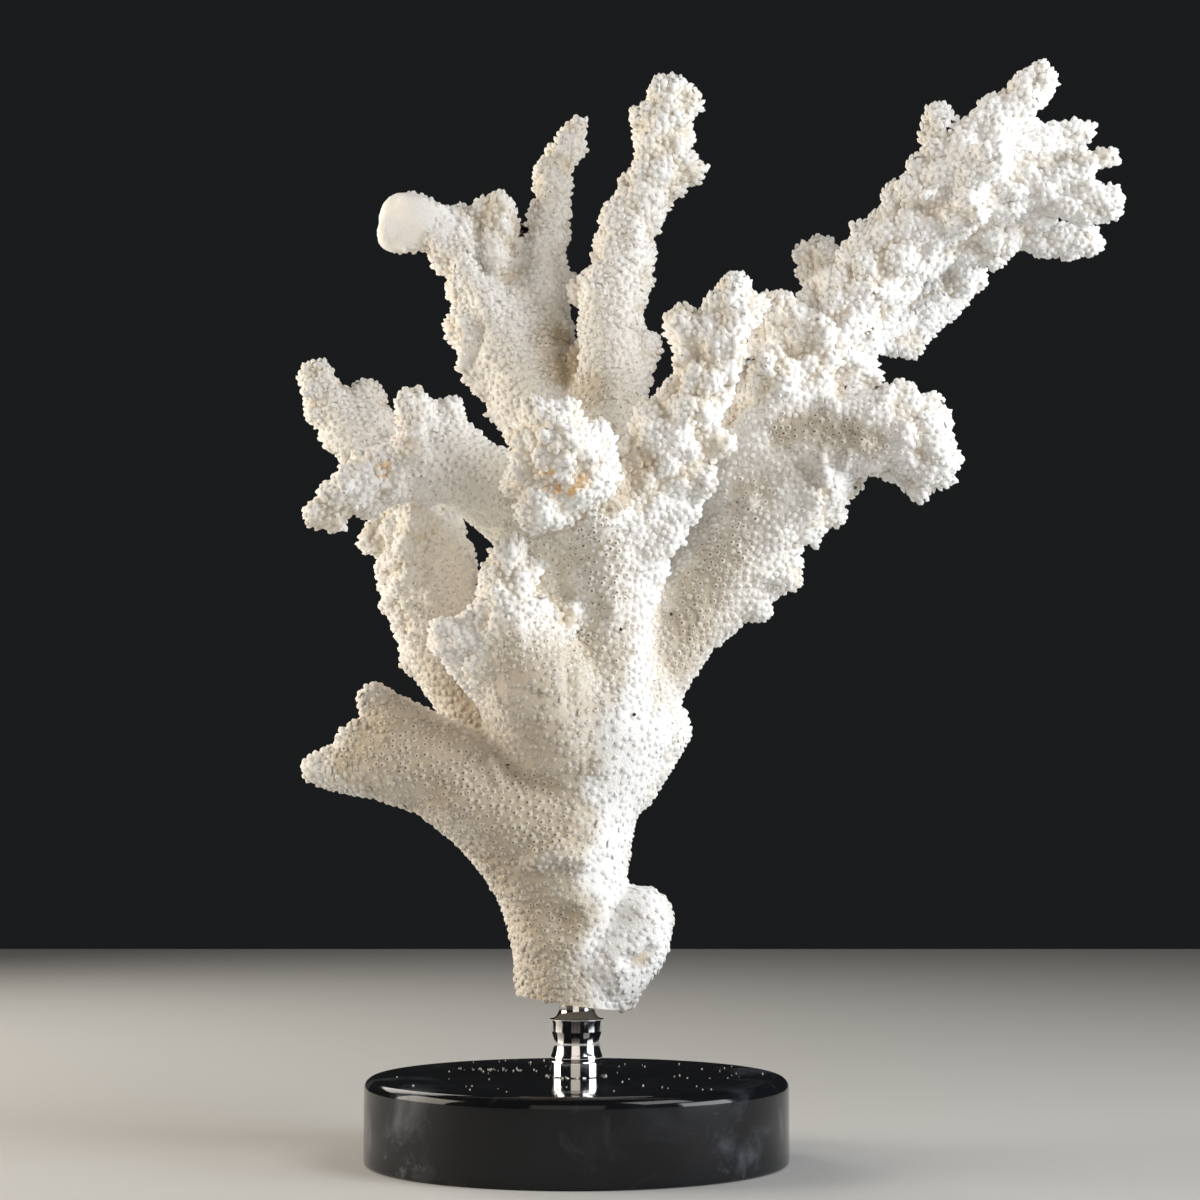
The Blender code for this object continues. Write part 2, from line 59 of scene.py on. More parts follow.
# Each branch has its buds, its growth and its limbs, of which the first is its main stem. A limb is a list of
# stations: x to the right, y to the back, z up and the radius there. Buds are: share of the stem where they
# start, how many, and their radius. Growth is how far the cups stand out, from the stem's start to its tip: 0
# is sunk in the skin and 1 is a long tube.
BRANCHES = {
    "trunk": ((0.72, 9, 3.5), (0.1, 0.6), [
        [(-2, 0, 44, 16.5), (-3, 0, 60, 16.5), (-4, 0, 76, 18.5), (-4, 0, 92, 20), (-2, 0, 108, 21.5),
         (2, 0, 122, 25), (5, -1, 135, 27), (7, -4, 150, 22), (8, -9, 163, 16), (8, -13, 176, 16),
         (9, -15, 189, 16)],
        [(8, -2, 58, 14), (16, -2, 66, 12.5), (19, -3, 72, 10.5)], [(8, 0, 54, 11), (12, 0, 50, 7.5)],
        [(-6, -1, 76, 16), (-13.5, -4, 90, 15), (-24, -6, 103, 14)], [(10, 0, 118, 17), (22, 1, 129, 13)],
        [(16, -14, 168, 8), (23, -17, 177, 5)], [(18, -18, 180, 9), (28, -22, 186, 5)],
        [(-2, -4, 140, 16), (-8, -8, 158, 14), (-10, -12, 172, 12), (-8.5, -13, 183, 12.5)]
    ]),
    "paddle_branch": ((0.9, 0, 3.5), (0.08, 0.34), [
        [(-6, -4, 98, 20), (-24, -8, 106, 17), (-40, -11, 116, 14.9), (-54, -12, 119.5, 13.5),
         (-66, -12, 118, 9.7), (-76.5, -12, 117, 5.7)],
        [(-42, -11, 118, 14), (-53, -12, 129, 10), (-60.5, -12, 138, 5.2)],
        [(-46, -12, 119, 12), (-60, -12, 124.5, 8.5), (-65.5, -12, 125, 6.5)],
        [(-46, -14, 127, 7), (-34, -17, 124, 6), (-26, -19, 118, 4.5)]
    ]),
    "left_stem": ((0.5, 10, 3.5), (0.25, 0.65), [
        [(-10, 8, 118, 18), (-26, 13, 136, 15.2), (-37.5, 15, 153, 15), (-44.8, 16, 169, 15),
         (-48.5, 16, 186, 16), (-54, 20, 200, 12)],
        [(-48, 8, 181, 9), (-49, 0, 192, 6)], [(-52, 14, 188, 10), (-63, 13, 189, 5.5)],
        [(-50, 14, 163, 9), (-57, 12, 167, 4)]
    ]),
    "rear_left_finger": ((0.3, 4, 3), (0.4, 0.8), [
        [(-52, 20, 198, 11), (-63, 27, 212.5, 10), (-72.5, 31, 225, 9.4), (-79.5, 33, 235, 7.6),
         (-83, 34, 242, 6)],
        [(-62, 28, 220, 8), (-67, 33, 237, 4.8)], [(-72, 30, 228, 6), (-83, 30, 231, 3.5)]
    ]),
    "left_arm": ((0.55, 9, 3.5), (0.2, 0.9), [
        [(0, -12, 186, 16), (-13, -15, 192.5, 15), (-24, -18, 199.8, 12.9), (-36, -21, 205.8, 11.1),
         (-47, -25, 206, 10), (-57, -28, 202.5, 9.5), (-67, -31, 196.5, 8.3), (-74.5, -33, 190.5, 5.5)],
        [(-37, -20, 210, 9), (-38, -20, 223.5, 4.5)], [(-46, -24, 208, 9), (-49, -23, 226.5, 5)],
        [(-47, -28, 208, 8), (-48, -34, 210, 5)], [(-31, -20, 208, 8), (-31, -20, 215, 4)]
    ]),
    "front_lobe": ((0.45, 12, 3.5), (0.1, 1.0), [
        [(-6, -10, 128, 20), (-13, -20, 143, 18), (-18, -26, 157, 13.5), (-19.5, -30, 169, 10),
         (-20, -32, 179, 6.5)],
        [(-20, -20, 146, 14), (-31, -26, 152, 10), (-37, -28, 155, 7)],
        [(-12, -24, 160, 10), (-5, -26, 161, 6)]
    ]),
    "front_cluster": ((0.4, 10, 3.5), (0.45, 1.0), [
        [(6, -18, 190, 15), (2, -32, 198, 13), (-3, -43, 206, 11), (-6, -52, 210, 8.5)],
        [(-6, -46, 208, 9), (-11, -50, 218, 5)], [(-3, -44, 208, 9), (-2, -48, 218, 4.8)],
        [(-6, -44, 206, 8), (-17, -45, 211, 5)], [(-4, -40, 202, 9), (-16, -44, 199, 5.5)],
        [(-2, -34, 196, 10), (-11, -42, 191, 7)], [(4, -32, 202, 9), (6, -38, 214, 4.5)]
    ]),
    "fan_branch": ((0.45, 9, 3.2), (0.3, 0.9), [
        [(5, 4, 178, 17), (2, 12, 198, 16), (-3.5, 19, 217, 14.8), (-14.5, 24, 237, 15.3),
         (-24, 28, 254, 13.5), (-30, 30, 269.5, 11), (-38.5, 31, 282, 9.2), (-47, 32, 290, 9.4),
         (-55, 32, 293.8, 9)],
        [(-50, 32, 290, 8), (-59, 32, 288, 5.6)], [(-29, 29, 278, 8), (-28, 29, 296, 5)],
        [(-25, 30, 276, 7), (-23.4, 29, 294.5, 4.5)], [(-34, 30, 282, 7), (-37, 30, 294, 4.2)],
        [(-27, 26, 250, 9), (-38, 24, 257, 5)], [(-22, 28, 250, 12), (-19, 30, 264, 9), (-17.5, 31, 273, 6)],
        [(-32, 27, 264, 8), (-38.5, 26, 270, 4.5)], [(-22, 26, 238, 9), (-32.5, 24, 244, 6.3)]
    ]),
    "slim_finger": ((0.35, 5, 3), (0.5, 0.8), [
        [(-9, 27, 238, 12), (-11, 30, 257, 9.8), (-12, 32, 275, 7.8), (-9.4, 32, 292, 7.2),
         (-8.5, 32, 306, 6.6), (-4.5, 32, 316, 5.2), (0, 32, 324, 3.8)],
        [(-9, 31, 262, 6), (-3.5, 30, 273, 3.5)]
    ]),
    "tall_finger": ((0.3, 14, 3.2), (0.4, 1.0), [
        [(6, 8, 205, 15), (9, 12, 228, 13), (10, 14, 248, 11.8), (11, 15, 265, 11.2), (15.5, 15, 283, 9.5),
         (21, 15, 296, 9), (25.2, 15, 308, 9.6), (27.5, 15, 320, 9.8), (28.5, 15, 328.5, 7.8)],
        [(14, 20, 234, 8), (22, 24, 251, 4.8)], [(10, 20, 256, 7), (0.5, 20, 268, 4)],
        [(16, 15, 286, 7), (11, 13, 290, 4.5)], [(25, 15, 301, 9), (35, 14, 305, 5.5)],
        [(28, 15, 321, 7), (36, 14, 328, 4)], [(25, 15, 314, 7), (20.5, 14, 321, 4)]
    ]),
    "centre_branch": ((0.3, 16, 3.5), (0.7, 1.0), [
        [(11, -14, 184, 15), (19, -20, 200, 13.5), (28, -24, 215, 11.5), (36.5, -27, 229, 10),
         (42.5, -28, 243, 8.5), (46.5, -29, 256, 7.5)],
        [(37, -27, 238, 7), (31, -28, 248.5, 5.5)], [(44, -28, 248, 7), (52.5, -28, 253.5, 5)],
        [(28, -24, 212, 9), (41, -27, 212, 5.5)], [(24, -22, 206, 9), (37, -26, 202, 5.5)],
        [(20, -18, 196, 9), (32, -23, 193, 5)], [(22, -22, 212, 8), (21, -26, 222, 4.5)]
    ]),
    "right_limb": ((0.55, 14, 3.8), (0.4, 1.0), [
        [(12, 6, 138, 16), (25, 9, 159, 15), (39, 10, 178, 18), (50, 10, 198, 19), (59, 8, 216, 18),
         (66, 5, 233, 17), (76, 2, 249, 15.2), (88, 0, 264.5, 14.6), (101, -2, 279, 14.3),
         (112, -4, 290, 14.5), (121, -6, 297, 12)],
        [(80, 8, 262, 10), (75, 15, 277, 7.5)], [(64, 2, 240, 12), (59.2, -4, 255, 7.8)],
        [(103, -4, 290, 10), (109.5, -6, 305, 6.7), (110.5, -6, 316, 4.8)]
    ]),
    "right_crown": ((0.2, 8, 3.2), (0.8, 1.0), [
        [(112, -6, 294, 12), (122, -7, 306.5, 10.3), (132, -8, 317.5, 8), (142, -9, 328.2, 5.4)],
        [(120, -4, 300, 11), (138, -3, 307, 7.5), (147, -3, 310.5, 5.5), (155.5, -3, 313.5, 4.3)],
        [(122, -8, 297, 10), (142, -11, 299, 6.5), (152, -13, 300.5, 5), (161, -14, 302.5, 3.8)],
        [(118, -8, 289, 12), (136, -12, 289, 9), (150, -15, 288.5, 7.2), (159.5, -16, 287.5, 6)],
        [(114, 0, 282, 12.5), (132, 2, 282.5, 8), (146, 2, 280, 6), (156.5, 2, 279.5, 5.7)],
        [(122, -2, 283, 11), (127, -2, 278, 8)], [(118, -10, 294, 10), (126, -20, 300, 6)],
        [(112, -8, 286, 10), (118, -19, 284, 6)]
    ]),
    "right_under_branch": ((0.3, 7, 3.2), (0.6, 0.9), [
        [(70, 10, 240, 13), (86, 20, 253, 10.5), (101, 27, 262, 9.5), (114, 31, 267, 9),
         (126.5, 33, 275, 4.8)],
        [(98, 26, 257, 8), (105.5, 28, 253, 4.8)]
    ]),
    "middle_branch": ((0.3, 12, 3.5), (0.6, 1.0), [
        [(48, -2, 206, 15), (60, -9, 224, 12), (71, -11, 238, 10.5), (82, -10, 246, 8), (88, -9, 246, 4.5)],
        [(78, -8, 240, 8), (88, -8, 236, 4.8)], [(60, -12, 226, 9), (58, -22, 238, 6)],
        [(70, -12, 240, 8), (73, -19, 248, 5)], [(66, -10, 244, 9), (62, -8, 256, 6)]
    ]),
    "right_arm": ((0.35, 14, 3.5), (0.35, 0.9), [
        [(54, -2, 206, 16), (69, -6, 214, 15.5), (83, -10, 216.5, 14.5), (96, -14, 215.5, 13.2),
         (105.5, -17, 209.5, 10.6)],
        [(92, -12, 221, 9), (97, -14, 229, 6)], [(98, -14, 219, 9), (106.5, -15, 223.5, 6)],
        [(102, -16, 209, 8), (109.5, -17, 206, 5.5)], [(100, -15, 209, 7), (103, -16, 201, 4.5)]
    ]),
    "right_flank": ((0.5, 7, 3.2), (0.2, 0.8), [
        [(20, 0, 147, 14), (28, 0, 157.5, 13.5), (37, 0, 168, 15), (50, -4, 183, 14), (63, -8, 194.5, 12.2),
         (73.5, -11, 202, 9)],
        [(56, -6, 182, 10), (63.5, -6, 175, 6.3)], [(46, -3, 172, 10), (54, -4, 167, 6)],
        [(68, -8, 193, 9), (76, -8, 194, 5)], [(72, -10, 202, 7), (79, -10, 199, 4.5)]
    ]),
    "rear_lower_branch": ((0.3, 9, 3.5), (0.3, 1.0), [
        [(-2, 10, 136, 18), (-7, 28, 152, 14), (-11, 42, 168, 12), (-10, 53, 185, 10), (-7, 60, 200, 7)],
        [(-12, 44, 172, 8), (-22, 54, 182, 5)]
    ]),
    "rear_upper_branch": ((0.3, 10, 3.5), (0.3, 1.0), [
        [(30, 12, 168, 16), (38, 30, 184, 13.5), (44, 44, 200, 11.5), (48, 54, 218, 9), (49, 59, 232, 6.5)],
        [(46, 46, 204, 8), (58, 54, 214, 5)], [(42, 42, 200, 8), (32, 52, 212, 5)]
    ]),
}
NAMES = list(BRANCHES)

# Buds, as shares of a bud's own radius, as in the solids
BUD_SINK = 0.2
BUD_RISE = 0.25
BUD_TAPER = 0.8
BUD_LEAN = 0.45
BUD_ROOT = 0.45

# The sawn foot slopes down to the right, and is looked for no farther than this from the axis
FOOT_HEIGHT = 47.2 * MM
FOOT_SLOPE = math.tan(math.radians(8))
FOOT_REACH = 40 * MM

# Skin: tubes, remeshing, and rounds of smoothing with the share that each pulls
LIMB_STEP = 3.0 * MM
LIMB_SIDES = 20
DOME_RINGS = 5
SKIN_VOXEL = 1.45 * MM
SKIN_ROUNDS, SKIN_PULL = 3, 0.55
DEEP_ROUNDS, DEEP_PULL = 40, 0.8
GROWTH_ROUNDS = 6
CAVITY_ROUNDS = 2

# The skeleton's samples: their step, what a side limb gains along its length, and how growth rises
SAMPLE_STEP = 2 * MM
SIDE_GAIN = 0.3
GROWTH_POWER = 1.5

# How much more the cups grow along the limbs' edges than on the faces towards the front and the back, and how
# far a normal turns to the front where neither holds
EDGE_GROWTH = 0.36
EDGE_MIDDLE = 0.65

# Knobs of the younger parts, the fall between them, and the relief that bends their outlines
KNOB_TRIES = 30000
KNOB_SPACING = 7.4 * MM
KNOB_REACH = 5.3 * MM
KNOB_DEPTH = 3.9 * MM
KNOB_BEND = 1.7 * MM
BEND_SIZE = 5 * MM

# Lumps: height, size and the relief's seed. Pebbles: size, and height on thick limbs and what thin ones add
LUMPS = ((0.55, 11, 1), (0.35, 4.6, 2))
PEBBLE_SIZE = 4.4 * MM
PEBBLE_RISE = (0.8, 0.6)

# Millimetres that the skin is drawn in to make room for cups: everywhere, and what full growth adds
DRAWN_IN = (0.35, 0.42)

# Columns of the skeleton's samples, after their place
RADIUS, DIRECTION, GROWTH, BRANCH = 3, slice(4, 7), 7, 8

# Rows of distances handled at once, cells of a random lattice, and cells of the grid for close pairs
CHUNK = 4000
LATTICE = 32
GRID = 8192

# Places on the skin, by the pixel of the portrait where they show, and their radius: worn smooth, and
# softened by a share of it
WORN = [(392, 218, 14), (380, 228, 13), (386, 204, 12), (412, 199, 8), (416, 214, 9)]
SOFTENED = [(520, 690, 13), (542, 728, 12), (505, 705, 9), (560, 760, 10), (632, 735, 12), (636, 770, 12),
            (628, 805, 12), (620, 840, 12), (628, 890, 13), (640, 915, 14), (648, 955, 14), (660, 735, 10),
            (615, 880, 10), (610, 760, 9), (668, 920, 10), (664, 955, 10), (640, 985, 10), (428, 208, 8),
            (436, 222, 7), (600, 720, 9)]
SOFTENED_SHARE = 0.78

# The same with the growth that they gain
REGROWN = [(408, 525, 8, 0.35), (395, 565, 8, 0.35), (395, 620, 8, 0.3), (374, 530, 5, 0.3),
           (450, 560, 9, -0.25), (458, 600, 9, -0.25), (475, 440, 9, -0.15), (500, 470, 8, -0.2),
           (790, 432, 7, -0.3), (820, 432, 7, -0.35), (850, 436, 7, -0.35), (876, 444, 6, -0.3),
           (452, 640, 9, 0.45), (446, 668, 8, 0.4), (475, 620, 7, 0.3), (560, 330, 9, -0.3),
           (548, 370, 9, -0.25), (580, 395, 9, -0.25), (615, 400, 9, -0.2), (600, 545, 10, -0.05),
           (620, 580, 9, 0.05), (372, 690, 5, 0.15), (356, 708, 4, 0.1), (336, 732, 5, 0.3),
           (314, 762, 6, 0.35), (345, 796, 5, 0.15), (560, 855, 7, 0.3), (540, 862, 6, 0.25),
           (580, 870, 6, 0.2), (560, 725, 12, -0.2)]

# The same for each colour that the finish lays on; the brown pockets are painted shade, and the dotted
# places' tan is partly painted shade
PATCHES = {
    "frosted": [
        (694, 495, 5), (688, 514, 5), (676, 550, 5), (664, 566, 5), (651, 584, 5), (651, 605, 5),
        (646, 640, 5), (642, 670, 6), (640, 700, 7), (632, 735, 11), (636, 770, 12), (628, 805, 12),
        (622, 840, 11), (612, 870, 12), (628, 890, 13), (640, 915, 14), (648, 955, 14), (615, 950, 11),
        (625, 985, 12), (660, 930, 10), (668, 735, 9), (655, 770, 9), (600, 790, 6), (664, 960, 9),
        (960, 170, 13), (1000, 150, 13), (1040, 130, 11), (1060, 190, 11), (1020, 212, 10), (975, 125, 10),
        (452, 640, 8), (446, 665, 7), (470, 618, 6)],
    "brown_pocket_shade": [
        (640, 462, 6), (632, 478, 5), (624, 496, 5), (612, 508, 4), (566, 356, 7), (568, 372, 6),
        (640, 960, 3), (568, 335, 5)],
    "orange": [
        (548, 481, 3), (554, 490, 3), (564, 494, 3), (574, 490, 3), (582, 483, 3), (385, 470, 3)],
    "dotted_and_shaded": [
        (345, 740, 10), (380, 735, 12), (420, 750, 13), (460, 775, 12), (500, 800, 13), (540, 825, 12),
        (535, 790, 9), (560, 930, 9), (540, 915, 8), (560, 365, 8), (548, 340, 8), (585, 390, 8),
        (600, 555, 10), (615, 590, 9), (585, 530, 8), (720, 540, 12), (745, 500, 10), (700, 590, 10),
        (690, 630, 8), (575, 640, 9), (565, 612, 8), (790, 430, 7), (820, 430, 7), (850, 435, 7),
        (875, 445, 6), (520, 260, 6)],
}

# Pixels of the dark specks, and their radius
SPECKS = [(622, 630), (634, 714), (670, 614)]
SPECK_RADIUS = 0.55 * MM

# Furrows and ridges: pixels along them, half width in millimetres, and how far they fall or rise
STROKES = [
    ([(474, 212), (478, 240), (484, 266)], 3.2, -3.4), ([(524, 238), (516, 262), (508, 284)], 3.0, -2.8),
    ([(499, 198), (500, 225), (500, 255)], 5.0, 2.2),
    ([(448, 262), (466, 250), (484, 258), (500, 276)], 2.6, -2.6),
    ([(462, 266), (474, 285), (488, 310)], 6.0, 2.5), ([(480, 326), (474, 346), (468, 362)], 2.6, -2.4),
    ([(458, 325), (462, 345)], 4.5, 1.8), ([(518, 300), (540, 303), (560, 318)], 2.4, -1.8),
    ([(569, 325), (569, 345), (569, 365)], 2.5, -3.0), ([(405, 196), (430, 200), (448, 206)], 5.0, 1.2),
    ([(412, 515), (408, 540), (400, 570)], 7.0, 2.6), ([(396, 612), (405, 630)], 5.0, 2.0),
    ([(398, 592), (418, 598)], 3.0, -2.0), ([(386, 508), (391, 522), (385, 545)], 2.5, -2.2),
    ([(426, 520), (428, 550), (424, 585)], 3.0, -2.0), ([(414, 450)], 4.5, 2.2),
    ([(432, 415), (434, 440)], 2.5, -2.0), ([(380, 470), (392, 480)], 3.0, -1.4),
    ([(358, 704), (354, 714)], 3.5, 1.0), ([(392, 198), (386, 208)], 9.0, -1.7), ([(381, 230)], 5.5, 2.0),
    ([(491, 757), (496, 770), (499, 784)], 2.4, 1.3), ([(742, 346), (750, 357)], 6.0, 3.2),
    ([(757, 352)], 5.0, 2.0), ([(338, 462), (352, 450), (372, 438), (392, 428)], 3.0, -2.4),
    ([(566, 590), (576, 640), (572, 700)], 3.5, -2.0), ([(534, 862), (558, 852), (582, 862)], 5.0, 2.2),
    ([(562, 922)], 8.0, -2.4), ([(628, 962), (645, 958), (655, 950)], 2.6, -2.6),
    ([(775, 438), (810, 430), (850, 432), (885, 440)], 5.0, -1.4),
    ([(820, 395), (850, 385), (880, 390), (910, 402), (940, 425)], 5.0, 1.2),
    ([(824, 472), (822, 456)], 2.2, 3.4), ([(844, 470), (848, 456)], 1.8, 3.0),
    ([(834, 482), (828, 500), (815, 520)], 7.0, 2.0), ([(796, 468), (813, 474)], 3.0, -2.2),
    ([(854, 478), (862, 490)], 3.0, -2.0), ([(859, 310), (892, 294), (918, 284)], 3.5, -2.0),
    ([(950, 266)], 4.0, 1.6), ([(950, 128)], 4.0, 1.4), ([(905, 175), (918, 158), (938, 150)], 3.0, -2.2),
    ([(1045, 118), (1020, 140), (990, 165)], 3.0, -2.6), ([(1075, 152), (1040, 166), (1000, 190)], 2.8, -2.4),
    ([(1075, 182), (1040, 192), (1010, 205)], 2.8, -2.2), ([(1035, 222), (1005, 226)], 3.5, -1.6),
    ([(708, 312), (714, 333)], 2.6, -1.8), ([(668, 408)], 4.5, -2.8), ([(694, 378)], 4.0, -2.4),
    ([(719, 408)], 4.0, -2.2), ([(541, 452)], 3.5, -1.8), ([(552, 420), (554, 436)], 2.4, -2.0),
    ([(535, 486), (556, 492), (580, 484)], 2.4, -2.2), ([(700, 440), (708, 470), (694, 500)], 3.0, -1.8),
    ([(764, 334), (775, 350), (782, 380)], 3.0, -1.5), ([(790, 300), (812, 312), (840, 316)], 3.0, -2.4)]

# Shares of a spot's radius where it fades, how many pixels aside the skin is looked for, and how many metres
# farther away each of them counts
SPOT_EDGE = (0.55, 1.15)
PIXEL_REACH = 5
PIXEL_COST = 0.0002

# Cup forms: rings of (radius, height, tip, pore), as shares of the cup's radius and height
SUNK_PORE = [(1.4, -0.5, 0.0, 0.0), (0.6, 0.95, 0.6, 0.0), (0.0, 0.3, 0.0, 1.0)]
TUBE_CUP = [(1.05, -0.4, 0.0, 0.0), (0.86, 0.8, 0.85, 0.0), (0.42, 0.92, 0.7, 0.35), (0.0, 0.45, 0.0, 1.0)]
BEAD = [(1.02, -0.5, 0.15, 0.0), (0.86, 0.6, 0.75, 0.0), (0.0, 1.1, 1.0, 0.0)]

# Each form's sides, and its radius and height in millimetres, each with what full growth adds
FORMS = [(SUNK_PORE, 5, (1.0, 0.0), (0.3, 0.8)), (TUBE_CUP, 6, (1.04, -0.1), (0.4, 0.95)),
         (BEAD, 5, (1.04, -0.1), (0.4, 0.95))]
CUP_TRIES = 320000
PORE_GROWTH = 0.38

# How much a cup is shaded by its own roundness, because light soaks through it, and what full growth adds
OWN_ROUNDNESS = (0.46, 0.15)
CARRIED = ("growth", "cavity", "valley", *PATCHES)

# The disc's top, and the angle up to which turned corners are shaded smooth
DISC_TOP = 25.4
SMOOTH_CORNER = math.radians(35)

# Soft boxes that face one point: name, place, size, power and colour
LIGHT_TARGET = np.array([0.03, 0.0, 0.2])
LIGHTS = [("right_low", (1.17, -0.36, 0.22), 0.7, 13.8, (0.93, 0.965, 1.0)),
          ("right_high", (0.55, -0.40, 0.70), 0.45, 3.4, (1.0, 1.0, 1.0)),
          ("left_side", (-1.0, 0.0, 0.40), 0.7, 10.2, (1.0, 0.905, 0.77)),
          ("left_back", (-0.55, 0.65, 0.65), 0.5, 3.2, (1.0, 0.94, 0.86)),
          ("front", (-0.1, -1.4, 0.45), 1.0, 3.3, (1.0, 0.90, 0.78))]


def unit(vectors):
    """Vectors scaled to length one."""
    return vectors / np.maximum(np.linalg.norm(vectors, axis=-1, keepdims=True), 1e-12)


def eased(low, high, values):
    """0 below low, 1 above high, and a smooth S between them."""
    t = np.clip((values - low) / (high - low), 0, 1)
    return t * t * (3 - 2 * t)


def along_skin(forward, normals):
    """Directions less their part along the normals."""
    return forward - normals * (forward * normals).sum(1, keepdims=True)


def chunks(count):
    """Slices that cut a long table into short ones."""
    return [slice(start, start + CHUNK) for start in range(0, count, CHUNK)]


def cells_of(points, size):
    """The cell of a cubic lattice that each point is in."""
    return np.floor(points / size).astype(int)


def relief(points, size, seed):
    """Smooth relief from -1 to 1: random values on a cubic lattice, blended between cell corners."""
    table = np.random.default_rng(seed).uniform(-1, 1, (LATTICE,) * 3)
    cell = cells_of(points, size)
    t = points / size - cell
    t = t * t * (3 - 2 * t)
    total = np.zeros(len(points))
    for corner in np.ndindex(2, 2, 2):
        share = np.prod(np.where(corner, t, 1 - t), axis=1)
        total += share * table[tuple(((cell + corner) % LATTICE).T)]
    return total


def pebbles(points, size, seed):
    """Small domes round one random point in each lattice cell: sqrt(1 - d^2 / r^2), with r 0.75 of a cell."""
    table = np.random.default_rng(seed).random((LATTICE,) * 3 + (3,))
    cell = cells_of(points, size)
    best = np.full(len(points), np.inf)
    for step in np.ndindex(3, 3, 3):
        near = cell + step - 1
        centre = (near + table[tuple((near % LATTICE).T)]) * size
        best = np.minimum(best, ((points - centre) ** 2).sum(1))
    return np.sqrt(np.clip(1 - best / (0.75 * size) ** 2, 0, 1))


def smooth_path(stations, step=LIMB_STEP):
    """Points and radii every few millimetres on a Catmull-Rom curve through the stations."""
    keys = np.array(stations, float) * MM
    padded = np.vstack([2 * keys[0] - keys[1], keys, 2 * keys[-1] - keys[-2]])
    rows = []
    for before, start, end, after in zip(padded, padded[1:], padded[2:], padded[3:]):
        span = np.linalg.norm(end[:3] - start[:3])
        t = np.linspace(0, 1, max(2, math.ceil(span / step)), endpoint=False)[:, None]
        rows.append(0.5 * (2 * start + (end - before) * t
                           + (2 * before - 5 * start + 4 * end - after) * t**2
                           + (3 * start - before - 3 * end + after) * t**3))
    path = np.vstack([*rows, keys[-1:]])
    return path[:, :3], path[:, 3]


def path_frames(points):
    """Tangents of a path, and two square directions measured from the world axis it runs least along."""
    tangents = unit(np.gradient(points, axis=0))
    reference = np.eye(3)[np.abs(tangents).max(0).argmin()]
    side = unit(np.cross(tangents, reference))
    return tangents, side, np.cross(tangents, side)


def circles(side, up, turn):
    """A ring of directions per row: side * cos(turn) + up * sin(turn)."""
    return side[:, None] * np.cos(turn)[..., None] + up[:, None] * np.sin(turn)[..., None]


def ring_turns(sides):
    """The angles of a ring's corners."""
    return np.arange(sides) / sides * TURN


def tube(stations):
    """A round tube with domed ends: rings of radius r(s) round the path, and quarter circles at both ends."""
    points, radii = smooth_path(stations)
    tangents, side, up = path_frames(points)
    lean = np.arange(1, DOME_RINGS + 1) / DOME_RINGS * math.pi / 2
    lean = np.r_[-lean[::-1], np.zeros(len(points)), lean]
    pick = (np.arange(len(lean)) - DOME_RINGS).clip(0, len(points) - 1)
    centre = points[pick] + tangents[pick] * (radii[pick] * np.sin(lean))[:, None]
    circle = circles(side[pick], up[pick], ring_turns(LIMB_SIDES))
    return centre[:, None] + circle * (radii[pick] * np.cos(lean))[:, None, None]


def bud_stations(stem, first_share, count, radius):
    """Short stubs on a golden-angle spiral round the stem, leaning towards its tip."""
    points, radii = smooth_path(stem)
    tangents, side, up = path_frames(points)
    k = np.arange(count)
    at = ((first_share + (1 - first_share) * (k + 0.5) / max(count, 1)) * (len(points) - 1)).astype(int)
    outwards = circles(side[at], up[at], k[:, None] * GOLDEN_ANGLE)[:, 0]
    lean = unit(BUD_LEAN * tangents[at] + outwards)
    reach = np.maximum(radii[at] / MM - BUD_SINK * radius, radius)[:, None]
    root = points[at] / MM + BUD_ROOT * reach * outwards
    tip = points[at] / MM + reach * outwards + BUD_RISE * radius * lean
    return [[(*a, radius), (*b, BUD_TAPER * radius)] for a, b in zip(root, tip)]


def ring_corners(sides):
    """A ring's corners, and the one after each."""
    at = np.arange(sides)
    return at, (at + 1) % sides


def grid_quads(rings, sides, start=0):
    """Faces of a grid that closes round each ring."""
    ring = np.arange(rings - 1)[:, None] * sides
    at, after = ring_corners(sides)
    quads = np.stack([ring + at, ring + after, ring + sides + after, ring + sides + at], axis=-1)
    return quads.reshape(-1, 4) + start


def fan(rings, sides, apex):
    """Triangles from the last ring of such a grid to an apex."""
    at, after = ring_corners(sides)
    top = (rings - 1) * sides
    return np.stack([top + at, top + after, np.full(sides, apex)], axis=1)


def add_object(name, data):
    """An object in the scene."""
    obj = bpy.data.objects.new(name, data)
    bpy.context.scene.collection.objects.link(obj)
    return obj


def new_mesh_object(name, verts, faces, finish=None):
    """A smooth mesh; faces is a list of arrays, each of faces with the same number of corners."""
    mesh = bpy.data.meshes.new(name)
    sizes = np.concatenate([np.full(len(f), f.shape[1]) for f in faces])
    corners = np.concatenate([f.ravel() for f in faces])
    mesh.vertices.add(len(verts))
    mesh.vertices.foreach_set("co", np.asarray(verts, np.float32).ravel())
    mesh.loops.add(len(corners))
    mesh.loops.foreach_set("vertex_index", corners.astype(np.int32))
    mesh.polygons.add(len(sizes))
    mesh.polygons.foreach_set("loop_start", (np.cumsum(sizes) - sizes).astype(np.int32))
    mesh.update(calc_edges=True)
    mesh.shade_smooth()
    if finish:
        mesh.materials.append(finish)
    return add_object(name, mesh)


def read_quads(obj):
    """Vertices and quads of what the object's modifiers make of it."""
    graph = bpy.context.evaluated_depsgraph_get()
    mesh = bpy.data.meshes.new_from_object(obj.evaluated_get(graph))
    verts = np.empty(len(mesh.vertices) * 3, np.float32)
    mesh.vertices.foreach_get("co", verts)
    corners = np.empty(len(mesh.loops), np.int32)
    mesh.loops.foreach_get("vertex_index", corners)
    bpy.data.meshes.remove(mesh)
    return verts.reshape(-1, 3).astype(float), corners.reshape(-1, 4)


